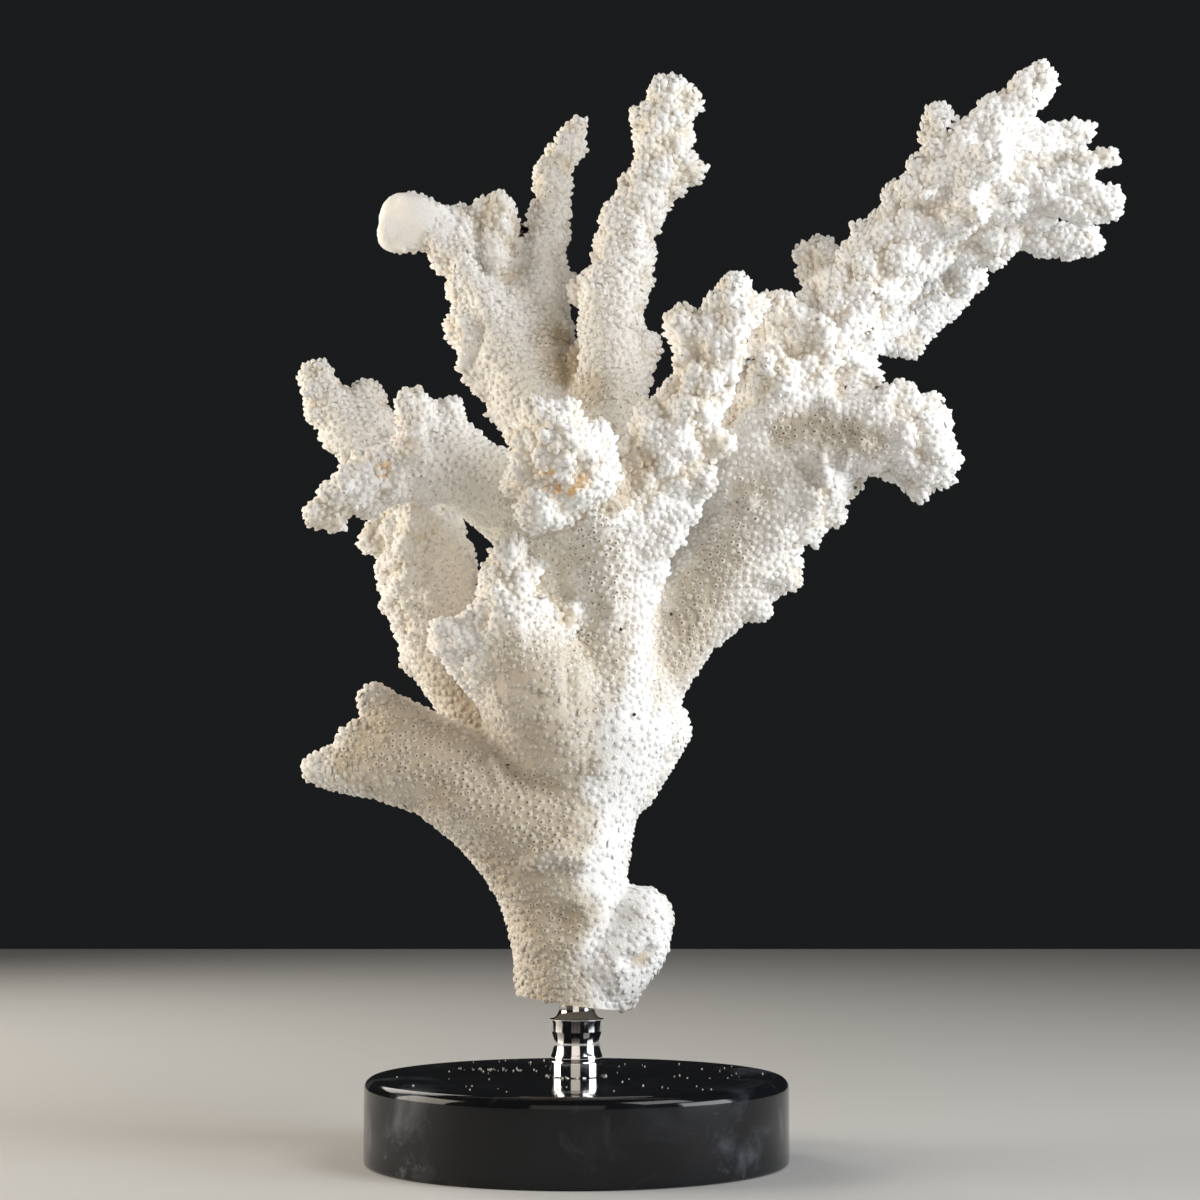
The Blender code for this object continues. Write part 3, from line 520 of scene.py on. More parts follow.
def quad_edges(quads):
    """The quads' edges, each in the direction in which its quad is gone round."""
    return np.concatenate([quads[:, [k, (k + 1) % 4]] for k in range(4)])


class Web:
    """The edges of a quad mesh, for averaging over neighbours."""

    def __init__(self, count, quads):
        pairs = np.unique(np.sort(quad_edges(quads), axis=1), axis=0)
        self.a = np.r_[pairs[:, 0], pairs[:, 1]]
        self.b = np.r_[pairs[:, 1], pairs[:, 0]]
        self.count = count
        self.share = 1 / np.maximum(np.bincount(self.a, minlength=count), 1)

    def mean(self, values):
        """The mean of each vertex's neighbours."""
        if values.ndim == 1:
            return np.bincount(self.a, values[self.b], self.count) * self.share
        return np.stack([self.mean(column) for column in values.T], axis=1)

    def smooth(self, values, rounds, pull=1.0):
        """Values drawn towards their neighbours' mean, round by round."""
        for _ in range(rounds):
            values = values + pull * (self.mean(values) - values)
        return values


def face_cross(verts, quads):
    """The cross product of each quad's diagonals: its normal, twice its area long."""
    a, b, c, d = verts[quads].transpose(1, 0, 2)
    return np.cross(c - a, d - b)


def vertex_normals(verts, quads):
    """Area-weighted normals: the quads' cross products summed at their corners."""
    face = np.repeat(face_cross(verts, quads), 4, axis=0)
    return unit(np.stack([np.bincount(quads.ravel(), column, len(verts)) for column in face.T], axis=1))


def fuse_limbs():
    """All limbs and buds as one skin of even quads."""
    verts, quads, count = [], [], 0
    for buds, _, limbs in BRANCHES.values():
        for stations in limbs + bud_stations(limbs[0], *buds):
            rings = tube(stations)
            verts.append(rings.reshape(-1, 3))
            quads.append(grid_quads(*rings.shape[:2], start=count))
            count += len(verts[-1])
    tubes = new_mesh_object("tubes", np.concatenate(verts), [np.concatenate(quads)])
    fuse = tubes.modifiers.new("fuse", "REMESH")
    fuse.mode = "VOXEL"
    fuse.voxel_size = SKIN_VOXEL
    skin = read_quads(tubes)
    bpy.data.objects.remove(tubes)
    return skin


def skeleton():
    """Samples of every limb: place, radius, direction, growth and branch number.

    Growth rises with the share s of the stem as s^1.5. A side limb starts at its root's share and gains 0.3.
    """
    rows = []
    for number, (_, (low, high), limbs) in enumerate(BRANCHES.values()):
        stem = smooth_path(limbs[0], SAMPLE_STEP)[0]
        for place, stations in enumerate(limbs):
            points, radii = smooth_path(stations, SAMPLE_STEP)
            share = np.linspace(0, 1, len(points))
            if place:
                root = np.linalg.norm(stem - points[0], axis=1).argmin() / (len(stem) - 1)
                share = np.minimum(root + SIDE_GAIN * share, 1)
            rows.append(np.column_stack([points, radii, unit(np.gradient(points, axis=0)),
                                         low + (high - low) * share**GROWTH_POWER,
                                         np.full(len(points), number)]))
    return np.concatenate(rows)


def nearest_sample(points, samples):
    """For each point, the skeleton sample whose surface is nearest: least distance less radius."""
    best = np.empty(len(points), int)
    for part in chunks(len(points)):
        gap = np.linalg.norm(points[part, None] - samples[:, :3], axis=2) - samples[:, RADIUS]
        best[part] = gap.argmin(1)
    return best


def knob_height(verts, centres, reach):
    """How high round knobs stand, as a share: the highest dome sqrt(1 - d^2 / R^2) round any centre."""
    best = np.zeros(len(verts))
    for part in chunks(len(verts)):
        gap = ((verts[part, None] - centres) ** 2).sum(2) / reach ** 2
        best[part] = np.sqrt(np.clip(1 - gap, 0, 1)).max(1)
    return best


def seen_point(verts, pixel):
    """The skin vertex that shows nearest to a pixel of the portrait, and the foremost of several."""
    right, back, rise = (verts - CAMERA_PLACE).T
    ahead = back * math.cos(CAMERA_RISE) + rise * math.sin(CAMERA_RISE)
    up = rise * math.cos(CAMERA_RISE) - back * math.sin(CAMERA_RISE)
    scale = CAMERA_LENS / FILM_WIDTH * FRAME_PIXELS / ahead
    off = np.hypot(FRAME_PIXELS / 2 + right * scale - pixel[0], FRAME_PIXELS / 2 - up * scale - pixel[1])
    near = off < max(PIXEL_REACH, off.min() + 1)
    return np.flatnonzero(near)[(ahead[near] + off[near] * PIXEL_COST).argmin()]


def spots(verts, places):
    """How near each vertex is to any of the places: 1 at a place's middle and 0 outside its radius."""
    value = np.zeros(len(verts))
    for across, down, radius in places:
        centre = verts[seen_point(verts, (across, down))]
        gap = np.linalg.norm(verts - centre, axis=1) / (radius * MM)
        value = np.maximum(value, 1 - eased(*SPOT_EDGE, gap))
    return value


def stroke_height(verts):
    """Furrows and ridges: h times an S from 1 on their middle line to 0 at their half width."""
    total = np.zeros(len(verts))
    for pixels, width, height in STROKES:
        keys = np.array(pixels, float)
        along = np.linspace(0, len(keys) - 1, 4 * len(keys) - 3)
        line = np.stack([np.interp(along, np.arange(len(keys)), column) for column in keys.T], axis=1)
        places = verts[[seen_point(verts, pixel) for pixel in line]]
        gap = np.linalg.norm(verts[:, None] - places, axis=2).min(1)
        total += height * MM * (1 - eased(0, width * MM, gap))
    return total


def scatter(verts, quads, count):
    """Random points spread evenly over quads: the corners round each, their weights, and the points."""
    area = np.linalg.norm(face_cross(verts, quads), axis=1) / 2
    face = np.searchsorted(np.cumsum(area), rng.random(count) * area.sum())
    corners = quads[np.minimum(face, len(quads) - 1)]
    s, t = rng.random((2, count))
    weights = np.stack([(1 - s) * (1 - t), s * (1 - t), s * t, (1 - s) * t], axis=1)
    return corners, weights, (verts[corners] * weights[..., None]).sum(1)


def close_pairs(points, reach):
    """All pairs of points nearer than reach, found through a grid of cells of that size."""
    strides = (GRID * GRID, GRID, 1)
    key = (cells_of(points, reach) + GRID // 2) @ strides
    order = key.argsort()
    ordered = key[order]
    found = []
    for step in np.ndindex(3, 3, 3):
        shift = (np.array(step) - 1) @ strides
        first = np.searchsorted(ordered, key + shift, "left")
        many = np.searchsorted(ordered, key + shift, "right") - first
        a = np.repeat(np.arange(len(points)), many)
        b = order[np.repeat(first - np.cumsum(many) + many, many) + np.arange(many.sum())]
        found.append(np.stack([a, b])[:, a < b])
    return np.concatenate(found, axis=1)


def thin_out(points, spacing):
    """Keeps random points so that none is nearer to another than the spacing there, in rounds."""
    a, b = close_pairs(points, spacing.max())
    near = np.linalg.norm(points[a] - points[b], axis=1) < (spacing[a] + spacing[b]) / 2
    a, b = a[near], b[near]
    rank = rng.permutation(len(points))
    low, high = np.where(rank[a] < rank[b], (a, b), (b, a))
    waiting = np.ones(len(points), bool)
    kept = np.zeros(len(points), bool)
    while waiting.any():
        live = waiting[low] & waiting[high]
        beaten = np.zeros(len(points), bool)
        beaten[low[live]] = True
        won = waiting & ~beaten
        kept |= won
        waiting &= ~won
        waiting[low[won[high]]] = False
        waiting[high[won[low]]] = False
    return kept


def swell(verts, quads, growth, worn, girth):
    """How far each vertex moves out and along its limb, and how far it lies between knobs, from 0 to 1.

    Out: lumps, less room for cups, less the fall between knobs, plus strokes, pebbles and knobs' tips.
    """
    knobbed = eased(0.4, 0.9, growth) * (1 - worn)
    seeds = scatter(verts, quads, KNOB_TRIES)[2]
    seeds = seeds[thin_out(seeds, KNOB_SPACING * rng.uniform(0.8, 1.2, len(seeds)))]
    bent = verts + KNOB_BEND * np.stack([relief(verts, BEND_SIZE, seed) for seed in (11, 12, 13)], axis=1)
    height = knob_height(bent, seeds, KNOB_REACH * rng.uniform(0.75, 1.2, len(seeds)))
    valley = (1 - height) * knobbed
    lumps = sum(rise * relief(verts, size * MM, seed) for rise, size, seed in LUMPS) * MM
    depth = KNOB_DEPTH * eased(2 * MM, 14 * MM, girth)
    lift = (lumps - (DRAWN_IN[0] + DRAWN_IN[1] * growth) * MM) * (1 - worn) - depth * valley
    lift += stroke_height(verts)
    thin = 1 - eased(5 * MM, 12 * MM, girth)
    rough = (PEBBLE_RISE[0] + PEBBLE_RISE[1] * thin) * (pebbles(bent, PEBBLE_SIZE, 3) - 0.5)
    lift += (rough + 1.2 * thin * (height - 0.45)) * knobbed * MM
    return lift[:, None], (0.9 * MM * (height - 0.6) * knobbed)[:, None], valley


def grow_skin():
    """The fused skin, smoothed and roughened, with what cups and finish need at each vertex."""
    verts, quads = fuse_limbs()
    web = Web(len(verts), quads)
    verts = web.smooth(verts, SKIN_ROUNDS, SKIN_PULL)
    samples = skeleton()
    nearest = samples[nearest_sample(verts, samples)]
    normals = vertex_normals(verts, quads)
    growth = nearest[:, GROWTH] + EDGE_GROWTH * (EDGE_MIDDLE - np.abs(normals[:, 1]))
    for *place, gain in REGROWN:
        growth += gain * spots(verts, [place])
    growth = np.clip(web.smooth(growth, GROWTH_ROUNDS), 0, 1)
    worn = np.maximum(spots(verts, WORN), SOFTENED_SHARE * spots(verts, SOFTENED))
    lift, slide, valley = swell(verts, quads, growth, worn, nearest[:, RADIUS])
    verts = verts + normals * lift + along_skin(nearest[:, DIRECTION], normals) * slide
    foot = FOOT_HEIGHT - FOOT_SLOPE * verts[:, 0]
    sawn = (verts[:, 2] < foot) & (np.hypot(verts[:, 0], verts[:, 1]) < FOOT_REACH)
    verts[sawn, 2] = foot[sawn]
    normals = vertex_normals(verts, quads)
    # Cavity: how far the skin lies below a much smoothed copy of itself; the finish paints shade with it.
    deep = web.smooth(verts, DEEP_ROUNDS, DEEP_PULL)
    cavity = web.smooth(((deep - verts) * normals).sum(1) / MM, CAVITY_ROUNDS)
    return {"verts": verts, "quads": quads, "normals": normals, "samples": samples,
            "forward": nearest[:, DIRECTION], "branch": nearest[:, BRANCH].astype(int), "growth": growth,
            "cavity": cavity, "valley": valley, "worn": worn, "sawn": sawn.astype(float),
            **{name: spots(verts, places) for name, places in PATCHES.items()}}


def stamp(form, sides, centre, lean, radius, height):
    """Copies of a small turned form, one per centre: ring r at height h along the lean, closed at both ends.

    Gives vertices, normals that turn from the side to the lean, faces, and tip and pore at each vertex.
    """
    rings = np.array(form)
    count = len(centre)
    reference = np.where(np.abs(lean[:, 2:]) < 0.9, (0, 0, 1.0), (1.0, 0, 0))
    side = unit(np.cross(lean, reference))
    turn = ring_turns(sides) + rng.random((count, 1)) * TURN
    spread = 1 + 0.16 * (rng.random((count, sides)) - 0.5)
    circle = circles(side, np.cross(lean, side), turn) * spread[..., None]
    body = rings[:-1]
    verts = (centre[:, None, None]
             + lean[:, None, None] * (height[:, None] * body[:, 1])[:, :, None, None]
             + circle[:, None] * (radius[:, None] * body[:, 0])[:, :, None, None])
    last = centre + lean * (height * rings[-1, 1])[:, None]
    rise = np.linspace(0, 0.8, len(body))[:, None, None]
    normals = circle[:, None] + rise * lean[:, None, None]
    verts, normals = (np.concatenate([rows.reshape(count, -1, 3), top[:, None]], axis=1).reshape(-1, 3)
                      for rows, top in ((verts, last), (normals, lean)))
    values = np.concatenate([np.repeat(body[:, 2:], sides, axis=0), rings[-1:, 2:]])
    size = len(values)
    start = (np.arange(count) * size)[:, None, None]
    foot = np.arange(sides)[::-1][None]
    faces = [(part + start).reshape(-1, part.shape[1])
             for part in (grid_quads(len(body), sides), fan(len(body), sides, size - 1), foot)]
    return verts, unit(normals), faces, np.tile(values, (count, 1))


def place_cups(skin):
    """Where cups grow: place, lean, kind (in FORMS) and branch of each, and the skin's numbers there."""
    corners, weights, points = scatter(skin["verts"], skin["quads"], CUP_TRIES)
    here = {key: (skin[key][corners] * weights).sum(1) for key in (*CARRIED, "worn", "sawn")}
    spacing = (1.9 - 0.2 * eased(0.1, 0.55, here["growth"]) + 0.25 * eased(0.3, 0.6, here["valley"])) * MM
    spacing *= rng.uniform(0.85, 1.15, len(points))
    pick = np.flatnonzero((here["sawn"] < 0.01) & (rng.random(len(points)) > 1.1 * here["worn"]))
    pick = pick[thin_out(points[pick], spacing[pick])]
    corners, weights, count = corners[pick], weights[pick], len(pick)
    cups = {key: values[pick] for key, values in here.items()}
    growth = cups["growth"]
    normals = unit((skin["normals"][corners] * weights[..., None]).sum(1))
    slide = unit(along_skin(skin["forward"][corners[:, 0]], normals))
    tilt = np.radians(8 + 34 * growth + 12 * rng.normal(size=count))[:, None]
    lean = unit(normals * np.cos(tilt) + slide * np.sin(tilt) + 0.15 * rng.normal(size=(count, 3)))
    chance = growth + 0.12 * rng.normal(size=count) + 0.3 * cups["frosted"]
    ringed = rng.random(count) < 0.55 - 0.5 * eased(0.35, 0.85, growth)
    kind = np.where(chance < PORE_GROWTH, 0, np.where(ringed, 1, 2))
    return cups | {"points": points[pick], "lean": lean, "normal": normals, "kind": kind,
                   "branch": skin["branch"][corners[:, 0]]}


def make_cups(cups, number):
    """The cups of one branch, kind by kind, as stamp gives them, and the cup that each vertex is on."""
    for kind, (form, sides, width, rise) in enumerate(FORMS):
        pick = np.flatnonzero((cups["branch"] == number) & (cups["kind"] == kind))
        if not len(pick):
            continue
        growth, wear = cups["growth"][pick], 1 - 0.8 * cups["worn"][pick]
        wobble = 1 + 0.13 * rng.normal(size=len(pick))
        uneven = (1 + 0.25 * rng.normal(size=len(pick))).clip(0.4, 1.7) if kind else wobble
        radius = (width[0] + width[1] * growth) * MM * wobble
        height = (rise[0] + rise[1] * growth) * MM * wear * uneven
        parts = stamp(form, sides, cups["points"][pick], cups["lean"][pick], radius, height)
        yield *parts, np.repeat(pick, len(parts[0]) // len(pick))


def close_skin(quads, skin, number):
    """Faces that close a branch's open rims: from the rim straight in to the middle of the nearest limb."""
    count = len(skin["verts"])
    edges = quad_edges(quads).astype(np.int64)
    rim = edges[~np.isin(edges[:, 0] * count + edges[:, 1], edges[:, 1] * count + edges[:, 0])]
    spine = skin["samples"][skin["samples"][:, BRANCH] == number]
    at, order = np.unique(rim, return_inverse=True)
    near = nearest_sample(skin["verts"][at], spine)[order].reshape(-1, 2) + count
    first = np.stack([rim[:, 1], rim[:, 0], near[:, 0]], axis=1)
    second = np.stack([rim[:, 1], near[:, 0], near[:, 1]], axis=1)
    return np.concatenate([first, second[near[:, 0] != near[:, 1]]]), spine[:, :3]


def make_branch(number, skin, cups, finish):
    """One branch: its part of the skin, closed where it meets its neighbours, and its cups."""
    quads = skin["quads"][skin["branch"][skin["quads"][:, 0]] == number]
    walls, spine = close_skin(quads, skin, number)
    used = np.unique(np.concatenate([quads.ravel(), walls.ravel()]))
    lookup = np.full(len(skin["verts"]) + len(spine), -1)
    lookup[used] = np.arange(len(used))
    verts = [np.concatenate([skin["verts"], spine])[used]]
    faces = [lookup[quads], lookup[walls]]
    count = len(used)
    blank = np.zeros((len(spine), 3))
    numbers = {key: [np.append(skin[key], blank[:, 0])[used]] for key in CARRIED}
    numbers |= {"tip": [np.zeros(count)], "pore": [np.zeros(count)]}
    normals = [np.concatenate([skin["normals"], blank])[used]]
    for cup_verts, cup_normals, cup_faces, values, cup in make_cups(cups, number):
        verts.append(cup_verts)
        own = (OWN_ROUNDNESS[0] + OWN_ROUNDNESS[1] * cups["growth"][cup])[:, None]
        normals.append(unit(own * cup_normals + (1 - own) * cups["normal"][cup]))
        faces += [part + count for part in cup_faces]
        count += len(cup_verts)
        for key in CARRIED:
            numbers[key].append(cups[key][cup])
        numbers["tip"].append(values[:, 0])
        numbers["pore"].append(values[:, 1])
    piece = new_mesh_object("cupped_" + NAMES[number], np.concatenate(verts), faces, finish)
    for key, values in numbers.items():
        layer = piece.data.attributes.new(key, "FLOAT", "POINT")
        layer.data.foreach_set("value", np.concatenate(values).astype(np.float32))
    piece.data.normals_split_custom_set_from_vertices(np.concatenate(normals).tolist())
    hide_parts(NAMES[number])
    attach(piece, "root")


def lathe(name, profile, sides, finish):
    """A profile of (radius, height) in millimetres carried round Z; its first and last points are on Z."""
    profile = np.array(profile) * MM
    radius, height = profile[1:-1].T[..., None]
    rings = len(radius)
    turn = ring_turns(sides)
    body = np.stack(np.broadcast_arrays(radius * np.cos(turn), radius * np.sin(turn), height), axis=-1)
    ends = [[0, 0, profile[0, 1]], [0, 0, profile[-1, 1]]]
    low = fan(1, sides, rings * sides)[:, [1, 0, 2]]
    high = fan(rings, sides, rings * sides + 1)
    piece = new_mesh_object(name, np.concatenate([body.reshape(-1, 3), ends]),
                            [grid_quads(rings, sides), low, high], finish)
    piece.data.set_sharp_from_angle(angle=SMOOTH_CORNER)
    return piece


def arc(centre, radius, start, end, steps):
    """Points on a circular arc of a profile, from one angle to another in degrees."""
    turn = np.radians(np.linspace(start, end, steps + 1))
    return [(centre[0] + radius * math.cos(a), centre[1] + radius * math.sin(a)) for a in turn]


def make_base(finish):
    """The polished disc: rounded top edge, eased foot and a blind hole for the spigot."""
    profile = [(0, 0), *arc((62.3, 1.2), 1.2, -90, 0, 6), *arc((60.3, 22.2), 3.2, 0, 90, 12),
               (40, DISC_TOP), (20, DISC_TOP), (4.3, DISC_TOP), (4.3, 13.1), (0, 13.1)]
    base = lathe("polished_base", profile, 192, finish)
    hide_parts("stone_base")
    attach(base, "root")


def make_post(finish):
    """The chrome turning: spigot, flange, hollow waist between two beads, shoulder, flared neck and stud."""
    waist = [(7.8 - 0.9 * math.sin(math.pi * t), 31.3 + 7.6 * t) for t in np.linspace(0, 1, 17)]
    profile = [(0, 13.7), (4.0, 13.7), (4.0, 25.7), (8.2, 25.7), (8.2, 29.6),
               *arc((7.7, 29.6), 0.5, 0, 90, 4), (7.75, 30.7), *waist, (7.8, 41.4), (8.2, 42.1), (8.2, 42.4),
               *arc((8.2, 45.2), 2.8, 270, 180, 12), (5.4, 49.8), (3.0, 49.8), (3.0, 69.8), (0, 69.8)]
    post = lathe("turned_post", profile, 96, finish)
    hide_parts("chrome_post")
    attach(post, "root")


def make_grains(name, centre, lean, radius, finish):
    """Loose grains as one piece, each a low bead."""
    verts, _, faces, _ = stamp(BEAD, 4, centre, lean, radius, 1.2 * radius)
    grains = new_mesh_object(name, verts, faces, finish)
    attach(grains, "root")


def make_dust(finish):
    """White dust on the disc, thickest in a drift behind on the left, and crumbs round the post's foot."""
    turn = rng.random(90) * TURN
    reach = np.r_[12 + 46 * np.sqrt(rng.random(60)), rng.uniform(8.3, 9.4, 30)]
    spread = np.stack([np.cos(turn), np.sin(turn)], axis=1) * reach[:, None]
    drift = rng.normal((-25, 20), (5, 3.5), (34, 2))
    flat = np.concatenate([spread, drift])
    centre = np.column_stack([flat, np.full(len(flat), DISC_TOP)]) * MM
    radius = np.r_[rng.uniform(0.12, 0.3, 60), rng.uniform(0.2, 0.5, 30), rng.uniform(0.12, 0.34, 34)] * MM
    make_grains("dust_grains", centre, np.tile([0, 0, 1.0], (len(flat), 1)), radius, finish)


def make_specks(skin, finish):
    """The few dark specks on the coral."""
    at = [seen_point(skin["verts"], place) for place in SPECKS]
    lean = skin["normals"][at]
    centre = skin["verts"][at] + SPECK_RADIUS * lean
    make_grains("dark_specks", centre, lean, np.full(len(at), SPECK_RADIUS), finish)


class Finish:
    """A node material that is put together line by line."""

    def __init__(self, name):
        self.material = bpy.data.materials.new(name)
        self.material.use_nodes = True
        self.tree = self.material.node_tree
        self.place = self.add("ShaderNodeTexCoord", {}, "Object")

    def fill(self, node, values):
        """Links an output into each named input, or sets a plain value there."""
        for key, value in values.items():
            if isinstance(value, bpy.types.NodeSocket):
                self.tree.links.new(value, node.inputs[key])
            else:
                node.inputs[key].default_value = value

    def add(self, kind, values, output=0, **settings):
        """One output of a new node with these inputs and settings."""
        node = self.tree.nodes.new(kind)
        for key, value in settings.items():
            setattr(node, key, value)
        self.fill(node, values)
        return node.outputs[output]

    def axes(self):
        return self.add("ShaderNodeSeparateXYZ", {0: self.place}).node.outputs

    def value(self, name):
        return self.add("ShaderNodeAttribute", {}, "Fac", attribute_name=name)

    def math(self, operation, first, *others):
        """The operation on two values, then on its result and the next."""
        for other in others:
            first = self.add("ShaderNodeMath", {0: first, 1: other}, operation=operation)
        return first

    def ramp(self, value, low, high, out_low=0.0, out_high=1.0):
        values = dict(enumerate((value, low, high, out_low, out_high)))
        return self.add("ShaderNodeMapRange", values, interpolation_type="SMOOTHSTEP")

    def noise(self, scale, detail=2.0, roughness=0.5, distortion=0.0, place=None):
        values = {"Vector": place or self.place, "Scale": scale, "Detail": detail, "Roughness": roughness,
                  "Distortion": distortion}
        return self.add("ShaderNodeTexNoise", values, "Fac")

    def mix(self, share, one, other):
        """Two colours blended by a share; a plain colour has three numbers."""
        one, other = ((*colour, 1.0) if isinstance(colour, tuple) else colour for colour in (one, other))
        return self.add("ShaderNodeMix", {0: share, 6: one, 7: other}, 2, data_type="RGBA")

    def bump(self, height, strength, distance, **more):
        values = {"Height": height, "Strength": strength, "Distance": distance, **more}
        return self.add("ShaderNodeBump", values, "Normal")

    def shade(self, colour, roughness, **more):
        """The material, with the shader's own sockets filled; an underscore in a name stands for a space."""
        values = {key.replace("_", " "): value for key, value in more.items()}
        shader = self.tree.nodes["Principled BSDF"]
        self.fill(shader, {"Base Color": colour, "Roughness": roughness, **values})
        return self.material


def coral_finish():
    """Bleached coral: bright cup tips, cream skin, painted shade in straw and brown in the hollows and
    pockets, painted light that whitens the upper parts and the right side, and brown pores, whose darkness is
    partly painted shade.
    """
    f = Finish("bleached_coral")
    growth, valley, cavity, dotted_and_shaded = (f.value(name) for name in ("growth", "valley", "cavity", "dotted_and_shaded"))
    patch = f.noise(55, 3)
    across, _, up = f.axes()
    # Whiter with growth, the coral's own bleaching, and whiter with height, which is painted light: the lower
    # parts keep painted shade.
    bleach_and_top_light = f.math("MAXIMUM", f.ramp(growth, 0.15, 0.7), f.ramp(up, 0.14, 0.18))
    skin = f.mix(bleach_and_top_light, (0.62, 0.535, 0.425), (0.90, 0.86, 0.79))
    skin = f.mix(f.ramp(patch, 0.4, 0.7, 0, 0.5), skin, (0.92, 0.885, 0.82))
    # Whiter and cooler towards the right: painted light where the key light falls.
    skin = f.mix(f.ramp(across, 0.05, 0.12, 0, 0.9), skin, (0.965, 0.96, 0.95))
    # Painted shade: straw where the skin lies in hollows and between knobs, less on the youngest parts.
    hollow_shade = f.ramp(f.math("ADD", cavity, f.math("MULTIPLY", patch, 1.2)), 0.6, 3.2)
    hollow_shade = f.math("MAXIMUM", f.math("MULTIPLY", hollow_shade, 0.85), f.ramp(valley, 0.1, 0.65, 0, 0.7))
    hollow_shade = f.math("MULTIPLY", hollow_shade, f.ramp(growth, 0.65, 1.0, 1, 0.6))
    skin = f.mix(hollow_shade, skin, (0.76, 0.67, 0.54))
    # Tan over the dotted places: partly the older skin's own tan, partly painted shade where these places lie
    # in shade.
    skin = f.mix(f.math("MULTIPLY", dotted_and_shaded, 0.7), skin, (0.58, 0.49, 0.36))
    # Whiter cup tips and knob crests; their fading in valleys and hollows is painted shade.
    bright = f.math("MULTIPLY", f.ramp(growth, 0.25, 0.7), f.ramp(valley, 0.35, 0.05, 0, 0.9))
    tip = f.math("MULTIPLY", f.value("tip"), f.ramp(valley, 0.1, 0.6, 0.8, 0.35),
                 f.ramp(cavity, 0.5, 3.5, 1.0, 0.4), f.ramp(growth, 0.1, 0.55, 0.45, 1))
    skin = f.mix(f.math("MAXIMUM", tip, bright, f.value("frosted")), skin, (0.975, 0.965, 0.945))
    # Painted shade: pockets and crevices darkened to brown.
    skin = f.mix(f.math("MULTIPLY", f.value("brown_pocket_shade"), 0.75), skin, (0.50, 0.40, 0.27))
    stain = f.math("MULTIPLY", f.value("orange"), f.ramp(f.noise(520, 2), 0.42, 0.6, 0.05, 0.8))
    skin = f.mix(stain, skin, (0.86, 0.50, 0.16))
    # Pore floors painted dark: partly their own brown, partly painted shade for the hole's depth, which is
    # not modelled; darker towards the bottom and over the dotted places.
    low = f.ramp(up, 0.18, 0.13)
    deep = f.mix(f.math("MAXIMUM", low, dotted_and_shaded), (0.46, 0.34, 0.20), (0.16, 0.095, 0.045))
    deep = f.mix(f.ramp(growth, 0.35, 0.8), deep, (0.52, 0.40, 0.25))
    depth = f.math("MAXIMUM", f.math("MULTIPLY", dotted_and_shaded, 0.95), f.ramp(f.noise(38, 2), 0.42, 0.62, 0.2, 0.75))
    depth = f.math("MULTIPLY", depth, f.ramp(f.value("frosted"), 0.1, 0.7, 1, 0.08))
    skin = f.mix(f.math("MULTIPLY", f.ramp(f.value("pore"), 0.25, 0.7), depth), skin, deep)
    cells = f.add("ShaderNodeTexVoronoi", {"Vector": f.place, "Scale": 1300}, "Distance")
    grain = f.bump(f.noise(650, 3, 0.6), 0.45, 0.0005, Normal=f.bump(cells, 0.35, 0.00025))
    return f.shade(skin, f.ramp(patch, 0.3, 0.7, 0.62, 0.8), Specular_IOR_Level=0.3, Subsurface_Weight=0.2,
                   Subsurface_Radius=(1.0, 0.9, 0.8), Subsurface_Scale=0.0015, Normal=grain)


def stone_finish():
    """Polished black marble with clouds of bluish-grey veins, stronger towards the two sides."""
    f = Finish("black_marble")
    across, _, _ = f.axes()
    side = f.ramp(f.math("ABSOLUTE", across, 0.0), 0.03, 0.062, 0.12, 1.0)
    cloud = f.ramp(f.noise(34, 5, 0.6, 0.6), 0.52, 0.78)
    vein = f.math("MULTIPLY", f.ramp(f.noise(60, 6, 0.65, 1.6), 0.56, 0.74), 0.8)
    shade = f.math("MULTIPLY", f.math("MAXIMUM", cloud, vein), side, 0.9)
    colour = f.mix(shade, (0.006, 0.0065, 0.008), (0.17, 0.19, 0.225))
    return f.shade(colour, f.ramp(f.noise(900, 2), 0.3, 0.8, 0.06, 0.14), Specular_IOR_Level=0.3)


def grain_finish(name, colour, other):
    """Plain dull grains, some darker than others."""
    f = Finish(name)
    colour = f.mix(f.ramp(f.noise(700, 2), 0.35, 0.65), colour, other)
    return f.shade(colour, f.ramp(f.noise(2500, 2), 0.3, 0.7, 0.6, 0.85))


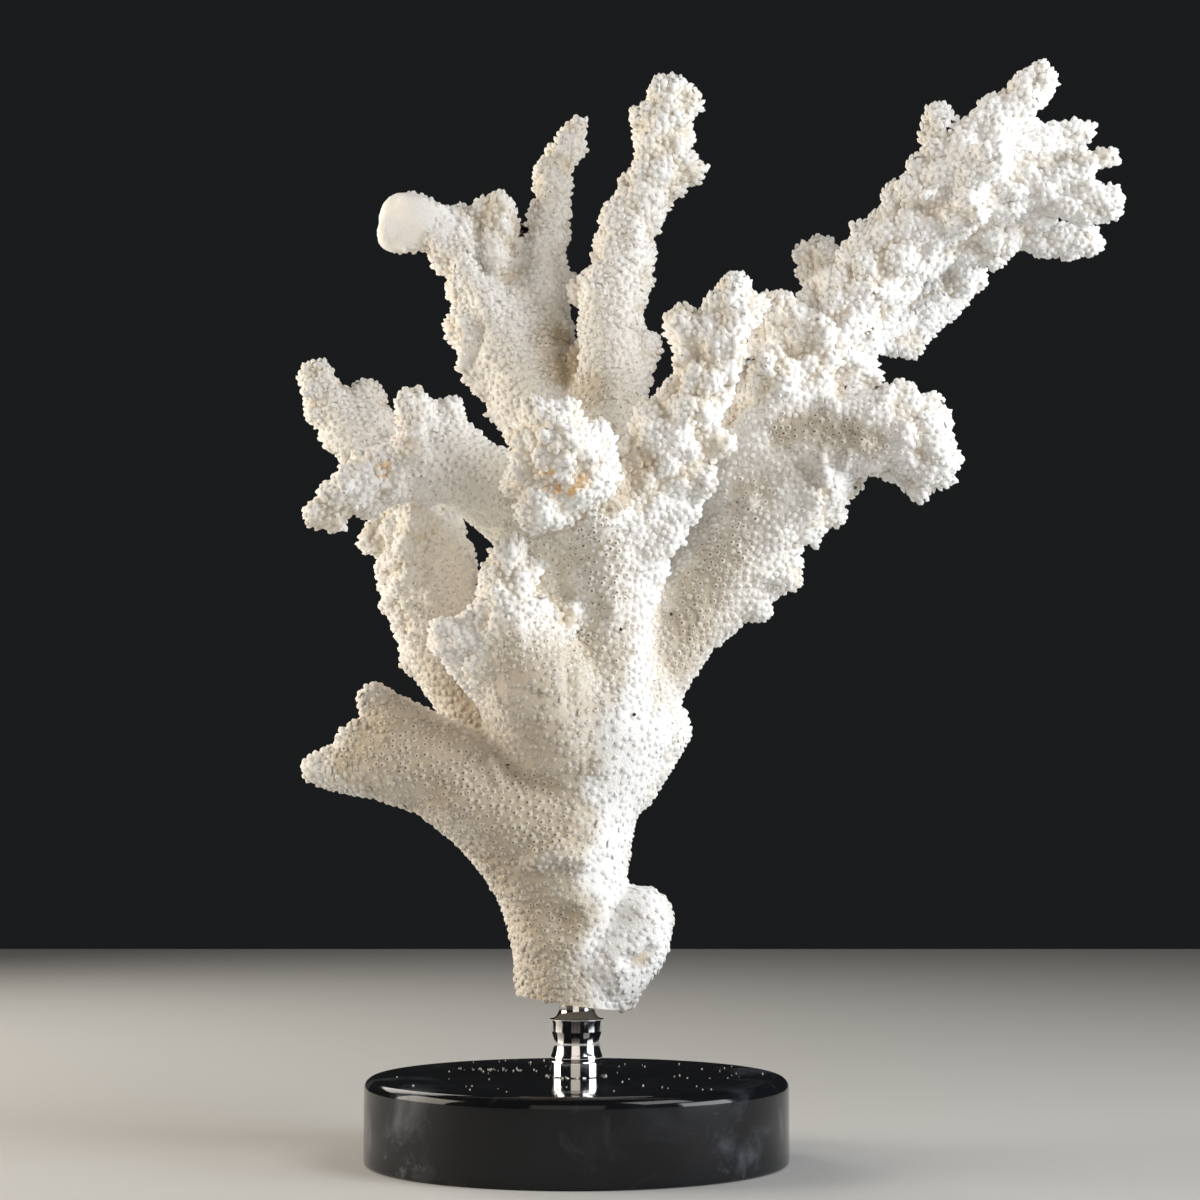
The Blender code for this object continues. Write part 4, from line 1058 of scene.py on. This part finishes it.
def chrome_finish():
    """Bright plating with a faint turned grain."""
    f = Finish("bright_chrome")
    _, _, up = f.axes()
    flat = f.add("ShaderNodeCombineXYZ", {2: f.math("MULTIPLY", up, 4.0)})
    smudge = f.noise(160, 3)
    colour = f.mix(f.ramp(smudge, 0.4, 0.75), (0.80, 0.80, 0.81), (0.66, 0.66, 0.67))
    grain = f.bump(f.noise(1500, 2, place=flat), 0.05, 0.0001)
    return f.shade(colour, f.ramp(smudge, 0.35, 0.75, 0.05, 0.14), Metallic=1.0, Normal=grain)


def soft_light(name, place, size, power, colour):
    """A square soft box that faces the coral."""
    light = bpy.data.lights.new(name, "AREA")
    light.shape = "SQUARE"
    light.size = size
    light.energy = power
    light.color = colour
    box = add_object(name, light)
    box.location = place
    x, y, z = unit(LIGHT_TARGET - place)
    box.rotation_euler = (math.atan2(math.hypot(x, y), -z), 0, math.atan2(-x, y))


def make_set():
    """Camera, soft lights and a flat pale floor."""
    camera = bpy.data.cameras.new("portrait")
    camera.lens = CAMERA_LENS
    camera.sensor_width = FILM_WIDTH
    camera.clip_start = 0.01
    holder = add_object("portrait", camera)
    holder.location = CAMERA_PLACE
    holder.rotation_euler = (math.pi / 2 + CAMERA_RISE, 0, 0)
    bpy.context.scene.camera = holder

    verts = [(-4.0, -3.0, 0), (4.0, -3.0, 0), (4.0, 1.3, 0), (-4.0, 1.3, 0)]
    pale = Finish("pale_floor").shade((0.62, 0.62, 0.61, 1), 0.7)
    floor = new_mesh_object("floor", verts, [np.arange(4)[None]], pale)

    world = bpy.data.worlds.new("studio")
    world.use_nodes = True
    world.node_tree.nodes["Background"].inputs["Color"].default_value = (0.9, 0.95, 1.0, 1)
    world.node_tree.nodes["Background"].inputs["Strength"].default_value = 0.012
    bpy.context.scene.world = world
    bpy.context.scene.view_settings.view_transform = "Standard"
    for light in LIGHTS:
        soft_light(*light)


def main():
    """The whole part, then the set."""
    stone, chrome, coral = stone_finish(), chrome_finish(), coral_finish()
    make_base(stone)
    make_post(chrome)
    skin = grow_skin()
    cups = place_cups(skin)
    for number in range(len(NAMES)):
        make_branch(number, skin, cups, coral)
    make_dust(grain_finish("white_dust", (0.75, 0.74, 0.72), (0.42, 0.42, 0.42)))
    make_specks(skin, grain_finish("dark_speck", (0.03, 0.02, 0.018), (0.08, 0.015, 0.012)))
    make_set()


main()
